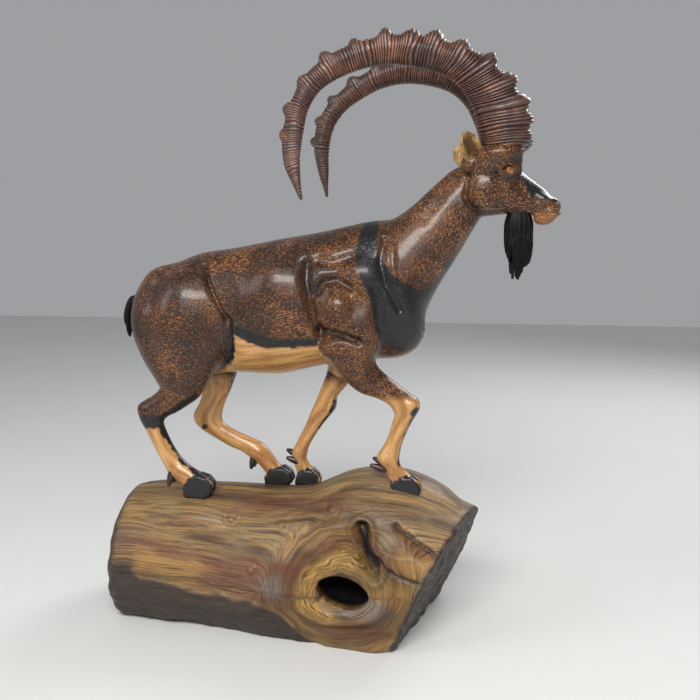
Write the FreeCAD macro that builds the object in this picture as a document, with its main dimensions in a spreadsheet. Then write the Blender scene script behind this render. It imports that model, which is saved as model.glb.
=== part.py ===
"""A carved wooden ibex striding on a log base, built from separately carved pieces.

Millimetres. +X points towards the head, +Y to the animal's left, +Z up. The origin lies on the
surface that the log rests on, under the middle of the whole statue's outline.

The trunk, neck, head, legs, horns, beard and tail are lofts through oval stations. A station is given
by the two points where its oval meets the piece's outline in side view, by its distance from the
middle plane and by its width from side to side. The glue joints are flat: the piece on each side of a
joint ends on the same oval. The log is a loft through upright ovals, with a burl and a knob grown on.
"""

import FreeCAD, Part
import Sketcher
import os

V = FreeCAD.Vector
ALONG_X = V(1, 0, 0)
ALONG_Y = V(0, 1, 0)
RIGHT, LEFT = -1, 1

doc = FreeCAD.newDocument("CarvedIbex")
sheet = doc.addObject("Spreadsheet::Sheet", "Sizes")


# ---------------------------------------------------------------- driving dimensions

SIZES = {
    # Ears: a leaf hollowed by an oval cup.
    "ear_root_x": 160,
    "ear_root_z": 524,
    "ear_root_offset": 25,
    "ear_length": 44,
    "ear_breadth": 21,
    "ear_thickness": 9,
    "ear_cup_depth": 4,
    "ear_cup_half_breadth": 7.5,
    "ear_cup_half_length": 17.5,
    "ear_middle": 20,
    "ear_cup_middle": 23,
    "ear_pin_middle": 3.5,
    "right_ear_sweep_angle": -20,
    "left_ear_sweep_angle": -40,
    "ear_spread_angle": 28,
    # Eyes.
    "eye_x": 196,
    "eye_z": 521,
    "eye_offset": 20,
    "eye_radius": 5.5,
    # Dewclaws.
    "dewclaw_root_radius": 4.2,
    "dewclaw_tip_radius": 2.2,
    "dewclaw_length": 15,
    "dewclaw_spacing": 11,
    "dewclaw_droop_angle": 115,
    # Log.
    "log_saw_block": 700,
    "log_end_x": 166,
    "log_end_z": 135,
    "log_end_yaw": -14.3,
    "log_end_lean": 23,
    "burl_x": 22,
    "burl_offset": -52,
    "burl_z": 66,
    "burl_length": 62,
    "burl_depth": 48,
    "burl_height": 56,
    "knob_x": 64,
    "knob_z": 138,
    "knob_length": 72,
    "knob_width": 52,
    "knob_height": 42,
    "knot_hollow_radius": 17,
    "knot_hollow_depth": 60,
    "knot_hollow_x": 24,
    "knot_hollow_z": 75,
    # Dowels and pins, all glued in blind sockets.
    "neck_dowel_radius": 7,
    "neck_dowel_length": 50,
    "neck_dowel_spacing": 42,
    "neck_dowel_rise": 10,
    "hind_dowel_radius": 7,
    "hind_dowel_length": 48,
    "front_dowel_radius": 5,
    "front_dowel_length": 40,
    "horn_dowel_radius": 5,
    "horn_dowel_length": 40,
    "ear_pin_radius": 1.5,
    "ear_pin_length": 18,
    "beard_pin_radius": 2.5,
    "beard_pin_length": 26,
    "tail_pin_radius": 2.5,
    "tail_pin_length": 24,
    "hoof_pin_radius": 2,
    "hoof_pin_length": 46,
    "hoof_pin_grip": 26,
}

# Stations: (edge x, edge z, opposite edge x, opposite edge z, offset from the middle plane, width).
# The first edge is the upper one on the body and the forward one on a leg.
NECK_JOINT = (54, 468, 106, 338, 0, 92)
TORSO = [
    (-231, 381, -236, 334, 0, 38),
    (-219, 398, -226, 310, 0, 70),
    (-194, 415, -198, 292, 0, 92),
    (-154, 431, -160, 288, 0, 100),
    (-110, 437, -112, 291, 0, 100),
    (-58, 448, -56, 291, 0, 104),
    (-16, 455, -4, 304, 0, 108),
    (22, 463, 46, 309, 0, 108),
    (40, 467, 84, 316, 0, 102),
    NECK_JOINT,
]
NECK = [
    NECK_JOINT,
    (72, 472, 116, 366, 0, 82),
    (92, 485, 127, 398, 0, 68),
    (114, 505, 146, 429, 0, 56),
    (138, 527, 168, 466, 0, 47),
    (160, 542, 188, 478, 0, 42),
]
HEAD = [
    (148, 536, 162, 476, 0, 42),
    (172, 548, 172, 468, 0, 52),
    (194, 546, 191, 470, 0, 52),
    (209, 534, 205, 473, 0, 44),
    (224, 516, 220, 471, 0, 34),
    (238, 503, 234, 464, 0, 28),
    (250, 491, 245, 463, 0, 25),
    (256, 482, 254, 469, 0, 12),
]
BEARD = [
    (224, 478, 196, 482, 0, 20),
    (228, 458, 195, 460, 0, 20),
    (228, 432, 198, 440, 0, 17),
    (216, 408, 204, 411, 0, 8),
]
TAIL = [
    (-224, 384, -229, 364, 0, 15),
    (-243, 377, -234, 361, 0, 15),
    (-250, 360, -238, 355, 0, 12),
    (-247, 331, -241, 331, 0, 5),
]

RIGHT_HORN = [
    (210, 528, 168, 532, 18, 34),
    (214, 560, 166, 556, 19, 34),
    (210, 592, 159, 582, 22, 33),
    (191, 620, 149, 601, 27, 31),
    (164, 641, 132, 615, 33, 29),
    (122, 655, 110, 623, 40, 27),
    (84, 659, 81, 628, 46, 25),
    (48, 654, 55, 626, 51, 23),
    (14, 641, 26, 617, 55, 21),
    (-14, 620, 2, 603, 58, 18),
    (-30, 592, -11, 583, 61, 16),
    (-39, 560, -17, 557, 63, 14),
    (-38, 528, -20, 531, 65, 11),
    (-27, 503, -19, 505, 66, 6),
    (-20, 489, -17, 490, 67, 2.5),
]
LEFT_HORN = [
    (210, 528, 168, 532, 18, 34),
    (213, 560, 165, 556, 19, 34),
    (207, 590, 157, 580, 22, 33),
    (188, 616, 146, 598, 27, 31),
    (160, 636, 129, 611, 33, 29),
    (120, 650, 108, 619, 40, 27),
    (84, 653, 81, 623, 46, 25),
    (50, 645, 56, 620, 51, 23),
    (19, 630, 31, 610, 55, 21),
    (-9, 608, 8, 595, 59, 18),
    (-26, 583, -6, 576, 62, 16),
    (-31, 554, -12, 552, 64, 13),
    (-26, 526, -13, 528, 65, 9),
    (-20, 507, -14, 508, 66, 5),
    (-17, 496, -14, 497, 66, 2.5),
]

RIGHT_HIND_JOINT = (-133, 290, -199, 285, 32, 42)
RIGHT_HAUNCH = [
    (-130, 372, -217, 388, 20, 56),
    (-122, 344, -226, 358, 26, 62),
    (-120, 318, -219, 316, 30, 56),
    RIGHT_HIND_JOINT,
]
RIGHT_HIND_LEG = [
    RIGHT_HIND_JOINT,
    (-151, 265, -201, 277, 32, 33),
    (-172, 250, -212, 264, 32, 27),
    (-193, 237, -223, 250, 32, 24),
    (-194, 229, -216, 233, 32, 20),
    (-185, 215, -203, 206, 32, 17),
    (-173, 197, -192, 187, 32, 18),
    (-160, 183, -183, 171, 32, 22),
    (-146, 176, -172, 162, 32, 21),
    (-137, 168, -170, 157, 32, 25),
    (-132, 145, -170, 143, 32, 28),
]

LEFT_HIND_JOINT = (-120, 288, -178, 284, 31, 38)
LEFT_HAUNCH = [
    (-124, 368, -217, 386, 20, 56),
    (-112, 340, -220, 352, 26, 60),
    (-110, 314, -206, 312, 30, 54),
    LEFT_HIND_JOINT,
]
LEFT_HIND_LEG = [
    LEFT_HIND_JOINT,
    (-131, 264, -165, 262, 31, 30),
    (-138, 246, -169, 244, 31, 26),
    (-139, 231, -179, 226, 31, 25),
    (-134, 223, -163, 212, 31, 21),
    (-120, 214, -140, 199, 31, 19),
    (-106, 208, -116, 187, 31, 18),
    (-89, 201, -104, 181, 31, 22),
    (-78, 186, -95, 170, 31, 20),
    (-65, 173, -90, 163, 31, 25),
    (-54, 145, -87, 145, 31, 28),
]

LEFT_FRONT_JOINT = (19, 280, -8, 294, 28, 28)
LEFT_SHOULDER = [
    (62, 386, -8, 376, 20, 50),
    (54, 350, -14, 342, 24, 54),
    (38, 316, -13, 312, 27, 46),
    LEFT_FRONT_JOINT,
]
LEFT_FRONT_LEG = [
    LEFT_FRONT_JOINT,
    (3, 260, -21, 260, 28, 23),
    (-1, 241, -28, 241, 28, 23),
    (-19, 218, -36, 225, 28, 17),
    (-31, 199, -47, 205, 28, 16),
    (-33, 186, -52, 190, 28, 19),
    (-28, 175, -49, 175, 28, 20),
    (-21, 168, -46, 166, 28, 25),
    (-16, 148, -45, 147, 28, 28),
]

RIGHT_FRONT_JOINT = (57, 310, 33, 281, 30, 36)
RIGHT_SHOULDER = [
    (72, 392, -4, 384, 20, 54),
    (74, 356, -12, 346, 26, 60),
    (70, 330, -2, 312, 30, 52),
    RIGHT_FRONT_JOINT,
]
RIGHT_FRONT_LEG = [
    RIGHT_FRONT_JOINT,
    (80, 291, 58, 270, 30, 30),
    (101, 276, 72, 263, 30, 27),
    (105, 259, 77, 252, 30, 24),
    (93, 237, 75, 238, 30, 17),
    (85, 217, 67, 220, 30, 17),
    (84, 202, 60, 204, 30, 22),
    (89, 189, 68, 188, 30, 20),
    (100, 181, 70, 176, 30, 25),
    (108, 158, 70, 156, 30, 29),
]

# The log's stations stand across X: (x, top, bottom, offset, width). The underside is sawn flat.
LOG = [
    (-255, 102, 24, 10, 118),
    (-251, 122, 8, 10, 146),
    (-243, 139, -6, 10, 162),
    (-226, 149, -16, 9, 170),
    (-187, 152, -22, 8, 174),
    (-122, 152, -24, 5, 180),
    (-42, 154, -34, 1, 188),
    (38, 163, -30, -2, 196),
    (108, 160, -30, -3, 194),
    (193, 130, -40, -2, 186),
]


def ref(alias):
    return "Sizes." + alias


next_row = 1


def record_size(alias, value):
    """Write one driving dimension into the sheet: its name, its plain number and its alias."""
    global next_row
    sheet.set("A%d" % next_row, alias)
    sheet.set("B%d" % next_row, str(value))
    sheet.setAlias("B%d" % next_row, alias)
    next_row += 1
    return ref(alias)


for size_name, size_value in SIZES.items():
    record_size(size_name, size_value)


# ---------------------------------------------------------------- stations, as expressions

def outline_stations(name, table, side=LEFT):
    """Stations from outline points. The oval's upright axis joins the two edge points."""
    stations = []
    for number, values in enumerate(table):
        columns = ("edge_x", "edge_z", "opposite_x", "opposite_z", "offset", "width")
        cells = [record_size("%s_%d_%s" % (name, number, column), value)
                 for column, value in zip(columns, values)]
        edge_x, edge_z, opposite_x, opposite_z, offset, width = cells
        rise = "(%s - %s)" % (edge_z, opposite_z)
        lean = "(%s - %s)" % (edge_x, opposite_x)
        stations.append({
            "x": "(%s + %s) / 2" % (edge_x, opposite_x),
            "y": "%d * %s" % (side, offset),
            "z": "(%s + %s) / 2" % (edge_z, opposite_z),
            "tilt": "atan2(%s; %s)" % (lean, rise),
            "height": "sqrt(%s ^ 2 + %s ^ 2)" % (lean, rise),
            "width": width,
        })
    return stations


def log_stations():
    stations = []
    for number, values in enumerate(LOG):
        columns = ("station_x", "top", "bottom", "offset", "width")
        cells = [record_size("log_%d_%s" % (number, column), value)
                 for column, value in zip(columns, values)]
        station_x, top, bottom, offset, width = cells
        stations.append({
            "x": station_x,
            "y": offset,
            "z": "(%s + %s) / 2" % (top, bottom),
            "tilt": "0 deg",
            "height": "%s - %s" % (top, bottom),
            "width": width,
        })
    return stations


# ---------------------------------------------------------------- builders

def value_of(expression):
    """The number that an expression over the sheet gives now."""
    result = sheet.evalExpression(expression)
    return getattr(result, "Value", result)


def bind_placement(obj, name, position, axis, angle):
    """Bind a placement to the sheet: three position expressions and a turn about a fixed axis."""
    turn = "rotation(vector(%d; %d; %d); %s)" % (axis.x, axis.y, axis.z, angle)
    obj.setExpression(name, "placement(vector(%s; %s; %s); %s)" % (*position, turn))


def oval_sketch(body, name, station, upright):
    """One oval station, sketched on the body's own YZ plane and leant over about the Y direction.

    An upright oval is longer along the line between its edge points, a lying one from side to side.
    """
    sketch = body.newObject("Sketcher::SketchObject", name)
    plane = [feature for feature in body.Origin.OriginFeatures if feature.Role == "YZ_Plane"][0]
    sketch.AttachmentSupport = [(plane, "")]
    sketch.MapMode = "FlatFace"
    bind_placement(sketch, "AttachmentOffset", (station["y"], station["z"], station["x"]),
                   ALONG_X, station["tilt"])
    half_height = value_of(station["height"]) / 2
    half_width = value_of(station["width"]) / 2
    if upright:
        oval = Part.Ellipse(V(0, half_height, 0), V(-half_width, 0, 0), V(0, 0, 0))
        directions = (("Vertical", "height"), ("Horizontal", "width"))
    else:
        oval = Part.Ellipse(V(half_width, 0, 0), V(0, half_height, 0), V(0, 0, 0))
        directions = (("Horizontal", "width"), ("Vertical", "height"))
    curve = sketch.addGeometry(oval)
    sketch.exposeInternalGeometry(curve)
    long_line = curve + 1
    sketch.addConstraint(Sketcher.Constraint("Coincident", curve, 3, -1, 1))
    sketch.addConstraint(Sketcher.Constraint(directions[0][0], long_line))
    for step, (_, size) in enumerate(directions):
        length = Sketcher.Constraint("Distance", long_line + step, value_of(station[size]))
        sketch.renameConstraint(sketch.addConstraint(length), size)
        sketch.setExpression("Constraints." + size, station[size])
    return sketch


def loft_body(name, stations, upright=True, ruled=False):
    """A solid through all the stations, smooth from one to the next unless it is ruled."""
    body = doc.addObject("PartDesign::Body", name)
    sketches = [oval_sketch(body, "%s_station_%d" % (name, number), station, upright)
                for number, station in enumerate(stations)]
    loft = body.newObject("PartDesign::AdditiveLoft", name + "_loft")
    loft.Profile = sketches[0]
    loft.Sections = sketches[1:]
    loft.Ruled = ruled
    body.Tip = loft
    return body


def limb_loft(name, stations, ruled=False):
    """A solid through bare ellipses, for a leg or a horn, which turns too sharply for a body's loft."""
    ovals = []
    for number, station in enumerate(stations):
        oval = doc.addObject("Part::Ellipse", "%s_oval_%d" % (name, number))
        oval.setExpression("MajorRadius", "(%s) / 2" % station["height"])
        oval.setExpression("MinorRadius", "(%s) / 2" % station["width"])
        bind_placement(oval, "Placement", (station["x"], station["y"], station["z"]),
                       ALONG_Y, "90 deg + " + station["tilt"])
        ovals.append(oval)
    loft = doc.addObject("Part::Loft", name)
    loft.Sections = ovals
    loft.Solid = True
    loft.Ruled = ruled
    return loft


def ellipsoid(name, position, half_sizes, axis=ALONG_Y, angle="0 deg"):
    """A whole ellipsoid with half sizes along its own X, Y and Z."""
    shape = doc.addObject("Part::Ellipsoid", name)
    shape.Angle1 = -90
    shape.Angle2 = 90
    shape.Angle3 = 360
    for radius, expression in zip(("Radius2", "Radius3", "Radius1"), half_sizes):
        shape.setExpression(radius, expression)
    bind_placement(shape, "Placement", position, axis, angle)
    return shape


def pin(name, centre, lean, radius, length):
    """A straight pin centred on a point. A lean of zero stands it upright, 90 lays it along +X."""
    cylinder = doc.addObject("Part::Cylinder", name)
    cylinder.setExpression("Radius", radius)
    cylinder.setExpression("Height", length)
    x, y, z = centre
    start_x = "%s - sin(%s) * %s / 2" % (x, lean, length)
    start_z = "%s - cos(%s) * %s / 2" % (z, lean, length)
    bind_placement(cylinder, "Placement", (start_x, y, start_z), ALONG_Y, lean)
    return cylinder


def joint_pin(name, station, radius, length, shift="0"):
    """A pin square to a joint's oval, moved along the oval's upright axis by the shift."""
    tilt = station["tilt"]
    centre = ("%s + sin(%s) * (%s)" % (station["x"], tilt, shift),
              station["y"],
              "%s + cos(%s) * (%s)" % (station["z"], tilt, shift))
    return pin(name, centre, "90 deg + %s" % tilt, radius, length)


def fuse(name, pieces):
    result = doc.addObject("Part::MultiFuse", name)
    result.Shapes = pieces
    return result


def group(name, pieces):
    """Separate solids kept in one object."""
    result = doc.addObject("Part::Compound", name)
    result.Links = pieces
    return result


def cut(name, base, tool):
    result = doc.addObject("Part::Cut", name)
    result.Base = base
    result.Tool = tool
    return result


# ---------------------------------------------------------------- dowels and pins

torso_stations = outline_stations("torso", TORSO)
neck_stations = outline_stations("neck", NECK)
head_stations = outline_stations("head", HEAD)
beard_stations = outline_stations("beard", BEARD)
tail_stations = outline_stations("tail", TAIL)
horns = {"right": outline_stations("right_horn", RIGHT_HORN, RIGHT),
         "left": outline_stations("left_horn", LEFT_HORN, LEFT)}
limbs = {}
for limb_name, stump_name, stump_table, leg_table, limb_side in (
        ("right_hind_leg", "right_haunch", RIGHT_HAUNCH, RIGHT_HIND_LEG, RIGHT),
        ("left_hind_leg", "left_haunch", LEFT_HAUNCH, LEFT_HIND_LEG, LEFT),
        ("right_front_leg", "right_shoulder", RIGHT_SHOULDER, RIGHT_FRONT_LEG, RIGHT),
        ("left_front_leg", "left_shoulder", LEFT_SHOULDER, LEFT_FRONT_LEG, LEFT)):
    limbs[limb_name] = {
        "stump_name": stump_name,
        "stump": outline_stations(stump_name, stump_table, limb_side),
        "leg": outline_stations(limb_name, leg_table, limb_side),
    }
log_oval_stations = log_stations()
doc.recompute()

SIDES = {"right": RIGHT, "left": LEFT}
nodes = {}


def build_leg_dowels():
    dowels = {}
    for name, limb in limbs.items():
        kind = "hind" if "hind" in name else "front"
        dowels[name] = joint_pin(name + "_dowel", limb["leg"][0],
                                 ref(kind + "_dowel_radius"), ref(kind + "_dowel_length"))
    return dowels


def build_hoof_pins():
    """Steel pins driven up through the log's top into each hoof, centred over the sole."""
    pins = {}
    for name, limb in limbs.items():
        sole = limb["leg"][-1]
        centre_z = "%s + %s - %s / 2" % (sole["z"], ref("hoof_pin_grip"), ref("hoof_pin_length"))
        pins[name] = pin(name + "_pin", (sole["x"], sole["y"], centre_z), "0 deg",
                         ref("hoof_pin_radius"), ref("hoof_pin_length"))
    return pins


def build_neck_dowels():
    return [joint_pin("neck_dowel_" + place, neck_stations[0], ref("neck_dowel_radius"),
                      ref("neck_dowel_length"),
                      "%s %s %s / 2" % (ref("neck_dowel_rise"), sign, ref("neck_dowel_spacing")))
            for place, sign in (("upper", "+"), ("lower", "-"))]


def build_horn_dowels():
    return [joint_pin(side + "_horn_dowel", stations[0], ref("horn_dowel_radius"),
                      ref("horn_dowel_length"))
            for side, stations in horns.items()]


def ear_sweep(name):
    return ref(name + "_ear_sweep_angle") + " * 1 deg"


def ear_point(name, reach):
    """A point this far along the ear's own axis, which leans back and out from the skull."""
    side = SIDES[name]
    sweep = ear_sweep(name)
    spread = ref("ear_spread_angle") + " * 1 deg"
    return ("%s + %s * sin(%s)" % (ref("ear_root_x"), reach, sweep),
            "%d * (%s + %s * sin(%s))" % (side, ref("ear_root_offset"), reach, spread),
            "%s + %s * cos(%s)" % (ref("ear_root_z"), reach, sweep))


def build_ear_pins():
    return [pin(name + "_ear_pin", ear_point(name, ref("ear_pin_middle")), ear_sweep(name),
                ref("ear_pin_radius"), ref("ear_pin_length"))
            for name in SIDES]


leg_dowels = build_leg_dowels()
hoof_pins = build_hoof_pins()
neck_dowels = build_neck_dowels()
horn_dowels = build_horn_dowels()
ear_pins = build_ear_pins()
beard_pin = joint_pin("chin_pin", beard_stations[1], ref("beard_pin_radius"), ref("beard_pin_length"))
tail_pin = joint_pin("rump_pin", tail_stations[0], ref("tail_pin_radius"), ref("tail_pin_length"))
nodes["leg_dowels"] = group("LegDowels", list(leg_dowels.values()))
nodes["hoof_pins"] = group("HoofPins", list(hoof_pins.values()))
nodes["neck_dowels"] = group("NeckDowels", neck_dowels)
nodes["horn_dowels"] = group("HornDowels", horn_dowels)
nodes["ear_pins"] = group("EarPins", ear_pins)
nodes["beard_pin"] = beard_pin
nodes["tail_pin"] = tail_pin


# ---------------------------------------------------------------- log base

def build_log():
    """A log with a burl and a knob, sawn flat below and askew at the head end, with a knot hole."""
    blank = loft_body("LogBlank", log_oval_stations, upright=False, ruled=True)
    burl = ellipsoid("Burl", (ref("burl_x"), ref("burl_offset"), ref("burl_z")),
                     (ref("burl_length"), ref("burl_depth"), ref("burl_height")))
    knob = ellipsoid("Knob", (ref("knob_x"), "0", ref("knob_z")),
                     (ref("knob_length"), ref("knob_width"), ref("knob_height")))
    grown = fuse("GrownLog", [blank, burl, knob])

    block = ref("log_saw_block")
    underside = doc.addObject("Part::Box", "UndersideCut")
    end = doc.addObject("Part::Box", "EndCut")
    for box in (underside, end):
        for side in ("Length", "Width", "Height"):
            box.setExpression(side, block)
    half = "-%s / 2" % block
    bind_placement(underside, "Placement", (half, half, "-" + block), ALONG_Y, "0 deg")

    end_turn = "rotation(vector(0; 0; 1); %s) * rotation(vector(0; 1; 0); %s)" % (
        ref("log_end_yaw"), ref("log_end_lean"))
    end_point = "vector(%s; 0; %s)" % (ref("log_end_x"), ref("log_end_z"))
    to_corner = "%s * vector(0; %s; %s)" % (end_turn, half, half)
    end.setExpression("Placement", "placement(%s + %s; %s)" % (end_point, to_corner, end_turn))
    sawn = cut("SawnLog", grown, fuse("SawCuts", [underside, end]))

    hole = doc.addObject("Part::Cylinder", "KnotHollow")
    hole.setExpression("Radius", ref("knot_hollow_radius"))
    hole.setExpression("Height", "2 * " + ref("knot_hollow_depth"))
    hole_end = "%s - %s + %s" % (ref("burl_offset"), ref("burl_depth"), ref("knot_hollow_depth"))
    bind_placement(hole, "Placement", (ref("knot_hollow_x"), hole_end, ref("knot_hollow_z")),
                   ALONG_X, "90 deg")
    hollowed = cut("HollowedLog", sawn, hole)
    return cut("LogBase", hollowed, nodes["hoof_pins"])


nodes["log_base"] = build_log()


# ---------------------------------------------------------------- trunk and legs

def build_trunk():
    torso = loft_body("Torso", torso_stations)
    stumps = [limb_loft(limb["stump_name"], limb["stump"]) for limb in limbs.values()]
    blank = fuse("TrunkBlank", [torso] + stumps)
    sockets = group("TrunkSockets", list(leg_dowels.values()) + neck_dowels + [tail_pin])
    return cut("Trunk", blank, sockets)


def build_leg(name):
    """A leg with its hoof, standing on the log and bored for its dowel and its hoof pin."""
    blank = limb_loft(name + "_blank", limbs[name]["leg"], ruled=True)
    standing = cut(name + "_standing", blank, nodes["log_base"])
    sockets = group(name + "_sockets", [leg_dowels[name], hoof_pins[name]])
    return cut(name + "_carved", standing, sockets)


def build_dewclaws(name, fetlock):
    """Two blunt pegs behind the fetlock, pointing back and down."""
    claws = []
    for place, sign in (("outer", ""), ("inner", "-")):
        claw = doc.addObject("Part::Cone", "%s_%s_dewclaw" % (name, place))
        claw.setExpression("Radius1", ref("dewclaw_root_radius"))
        claw.setExpression("Radius2", ref("dewclaw_tip_radius"))
        claw.setExpression("Height", ref("dewclaw_length"))
        root_x = "%s - sin(%s) * (%s / 2 - 2 * %s)" % (
            fetlock["x"], fetlock["tilt"], fetlock["height"], ref("dewclaw_root_radius"))
        root_y = "%s + (%s%s) / 2" % (fetlock["y"], sign, ref("dewclaw_spacing"))
        root_z = "%s - cos(%s) * (%s / 2 - 2 * %s)" % (
            fetlock["z"], fetlock["tilt"], fetlock["height"], ref("dewclaw_root_radius"))
        bind_placement(claw, "Placement", (root_x, root_y, root_z), ALONG_Y,
                       "-%s * 1 deg" % ref("dewclaw_droop_angle"))
        claws.append(claw)
    return cut(name + "_dewclaws", group(name + "_claws", claws), nodes[name])


FETLOCK = -4  # the fetlock's station, counted back from the sole

nodes["trunk"] = build_trunk()
for limb_name, limb in limbs.items():
    nodes[limb_name] = build_leg(limb_name)
    claw_node = limb_name.replace("_leg", "_dewclaws")
    nodes[claw_node] = build_dewclaws(limb_name, limb["leg"][FETLOCK])


# ---------------------------------------------------------------- neck, head and what it carries

def build_eye(name, side):
    eye = doc.addObject("Part::Sphere", name)
    eye.setExpression("Radius", ref("eye_radius"))
    centre = (ref("eye_x"), "%d * %s" % (side, ref("eye_offset")), ref("eye_z"))
    bind_placement(eye, "Placement", centre, ALONG_Y, "0 deg")
    return eye


def build_neck_and_head():
    neck = loft_body("Neck", neck_stations)
    head = loft_body("Head", head_stations)
    blank = fuse("NeckAndHeadBlank", [neck, head])
    sockets = group("HeadSockets", neck_dowels + horn_dowels + ear_pins
                    + [beard_pin, nodes["right_eye"], nodes["left_eye"]])
    return cut("NeckAndHead", blank, sockets)


def build_horn(side):
    blank = limb_loft(side + "_horn_blank", horns[side])
    seated = cut(side + "_horn_seated", blank, nodes["neck_and_head"])
    return cut(side + "_horn_carved", seated, nodes["horn_dowels"])


def build_ear(name):
    """A leaf leaning back and out, with a shallow cup in its outer face."""
    half_length = "%s / 2" % ref("ear_length")
    half_breadth = "%s / 2" % ref("ear_breadth")
    half_thickness = "%s / 2" % ref("ear_thickness")
    sweep = ear_sweep(name)
    leaf = ellipsoid(name + "_ear_leaf", ear_point(name, ref("ear_middle")),
                     (half_breadth, half_thickness, half_length), ALONG_Y, sweep)
    x, y, z = ear_point(name, ref("ear_cup_middle"))
    cup = ellipsoid(name + "_ear_cup",
                    (x, "%s + %d * %s" % (y, SIDES[name], half_thickness), z),
                    (ref("ear_cup_half_breadth"), ref("ear_cup_depth"), ref("ear_cup_half_length")),
                    ALONG_Y, sweep)
    cupped = cut(name + "_ear_cupped", leaf, cup)
    seated = cut(name + "_ear_seated", cupped, nodes["neck_and_head"])
    return cut(name + "_ear_carved", seated, nodes["ear_pins"])


for side_name, side_sign in SIDES.items():
    nodes[side_name + "_eye"] = build_eye(side_name + "_eye_bead", side_sign)
nodes["neck_and_head"] = build_neck_and_head()
for side_name in SIDES:
    nodes[side_name + "_horn"] = build_horn(side_name)
    nodes[side_name + "_ear"] = build_ear(side_name)
beard_blank = loft_body("BeardBlank", beard_stations)
beard_seated = cut("BeardSeated", beard_blank, nodes["neck_and_head"])
nodes["beard"] = cut("BeardCarved", beard_seated, beard_pin)
tail_blank = loft_body("TailBlank", tail_stations)
tail_seated = cut("TailSeated", tail_blank, nodes["trunk"])
nodes["tail"] = cut("TailCarved", tail_seated, tail_pin)


# ---------------------------------------------------------------- checks and files

SOLIDS_IN_GROUP = {"leg_dowels": 4, "hoof_pins": 4, "neck_dowels": 2, "horn_dowels": 2, "ear_pins": 2,
                   "right_hind_dewclaws": 2, "left_hind_dewclaws": 2,
                   "right_front_dewclaws": 2, "left_front_dewclaws": 2}


def check_document():
    for obj in doc.Objects:
        if "Invalid" in obj.State or "Error" in obj.State:
            raise RuntimeError("%s failed: %s" % (obj.Name, obj.State))
    for name, node in nodes.items():
        shape = node.Shape
        if shape.isNull() or not shape.isValid():
            raise RuntimeError("%s has no valid shape" % name)
        expected = SOLIDS_IN_GROUP.get(name, 1)
        if len(shape.Solids) != expected:
            volumes = [round(solid.Volume, 1) for solid in shape.Solids]
            raise RuntimeError("%s has solids %s, not %d" % (name, volumes, expected))


for node_name, node_object in nodes.items():
    node_object.Label = node_name
doc.recompute()
check_document()
os.makedirs("parts", exist_ok=True)
for node_name, node_object in nodes.items():
    node_object.Shape.exportStep("parts/%s.step" % node_name)
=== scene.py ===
"""The looks of a carved wooden ibex striding on a log.

Lengths in the shape tables are millimetres in the part's own frame: +X towards the head, +Y towards the
animal's left, +Z up. A shape is a signed distance field: a function that gives how far points lie outside
it, below zero inside. Trunk, neck, head and legs are cut from one such field, so that they meet exactly at
the glued joints.
"""

import math
from contextlib import contextmanager

import bmesh
import bpy
import numpy as np
import openvdb
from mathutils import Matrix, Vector


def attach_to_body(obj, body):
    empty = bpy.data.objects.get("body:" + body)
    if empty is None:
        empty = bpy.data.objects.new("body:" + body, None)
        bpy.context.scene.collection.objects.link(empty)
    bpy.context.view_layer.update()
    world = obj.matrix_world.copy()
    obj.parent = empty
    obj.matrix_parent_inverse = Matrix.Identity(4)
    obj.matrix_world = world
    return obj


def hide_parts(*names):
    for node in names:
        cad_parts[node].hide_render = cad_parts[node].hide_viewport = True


MM = 0.001
RIGHT, LEFT = -1, 1
FAR = 80.0  # stands for "nowhere near" in a field
NEAR_MARGIN = 12.0  # how far outside its box a shape is still reckoned with, past its blend
TUBE = 5.0  # how far outside a limb's own sweep its surface can lie
SAW_ZONE = 8.0  # faces this close to a cut are split by it

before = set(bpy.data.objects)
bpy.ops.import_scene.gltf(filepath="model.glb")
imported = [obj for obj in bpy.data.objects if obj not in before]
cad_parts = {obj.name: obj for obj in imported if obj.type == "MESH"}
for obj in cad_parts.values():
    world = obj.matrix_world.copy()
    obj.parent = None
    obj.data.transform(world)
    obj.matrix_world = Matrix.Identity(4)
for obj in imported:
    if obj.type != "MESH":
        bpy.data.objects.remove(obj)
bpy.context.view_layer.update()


# ---------------------------------------------------------------- shape tables

# Stations: (edge x, edge z, opposite edge x, opposite edge z, offset from the middle plane, width).
NECK_JOINT = (54, 468, 106, 338, 0, 92)
TORSO_AND_NECK = [
    (-191, 414, -194, 294, 0, 90), (-154, 430, -160, 289, 0, 100), (-110, 437, -112, 292, 0, 98),
    (-58, 447, -56, 292, 0, 104), (-16, 454, -4, 304, 0, 106), (22, 462, 46, 310, 0, 102),
    (40, 466, 84, 318, 0, 96), NECK_JOINT, (72, 470, 110, 366, 0, 80), (92, 483, 124, 396, 0, 66),
    (114, 503, 144, 429, 0, 54), (136, 522, 164, 464, 0, 46), (148, 526, 176, 482, 0, 40),
]
HEAD = [
    (160, 531, 165, 480, 0, 40), (174, 543, 174, 473, 0, 48), (188, 546, 189, 474, 0, 50),
    (199, 539, 200, 475, 0, 45), (210, 522, 209, 475, 0, 35), (225, 510, 223, 474, 0, 26),
    (238, 500, 236, 472, 0, 21), (246, 492, 244, 474, 0, 16),
]
RIGHT_HIND_JOINT = (-133, 290, -199, 285, 32, 42)
RIGHT_HAUNCH = [(-130, 384, -214, 398, 15, 52), (-118, 350, -226, 358, 24, 64),
                (-118, 320, -219, 318, 28, 58), RIGHT_HIND_JOINT]
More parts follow.
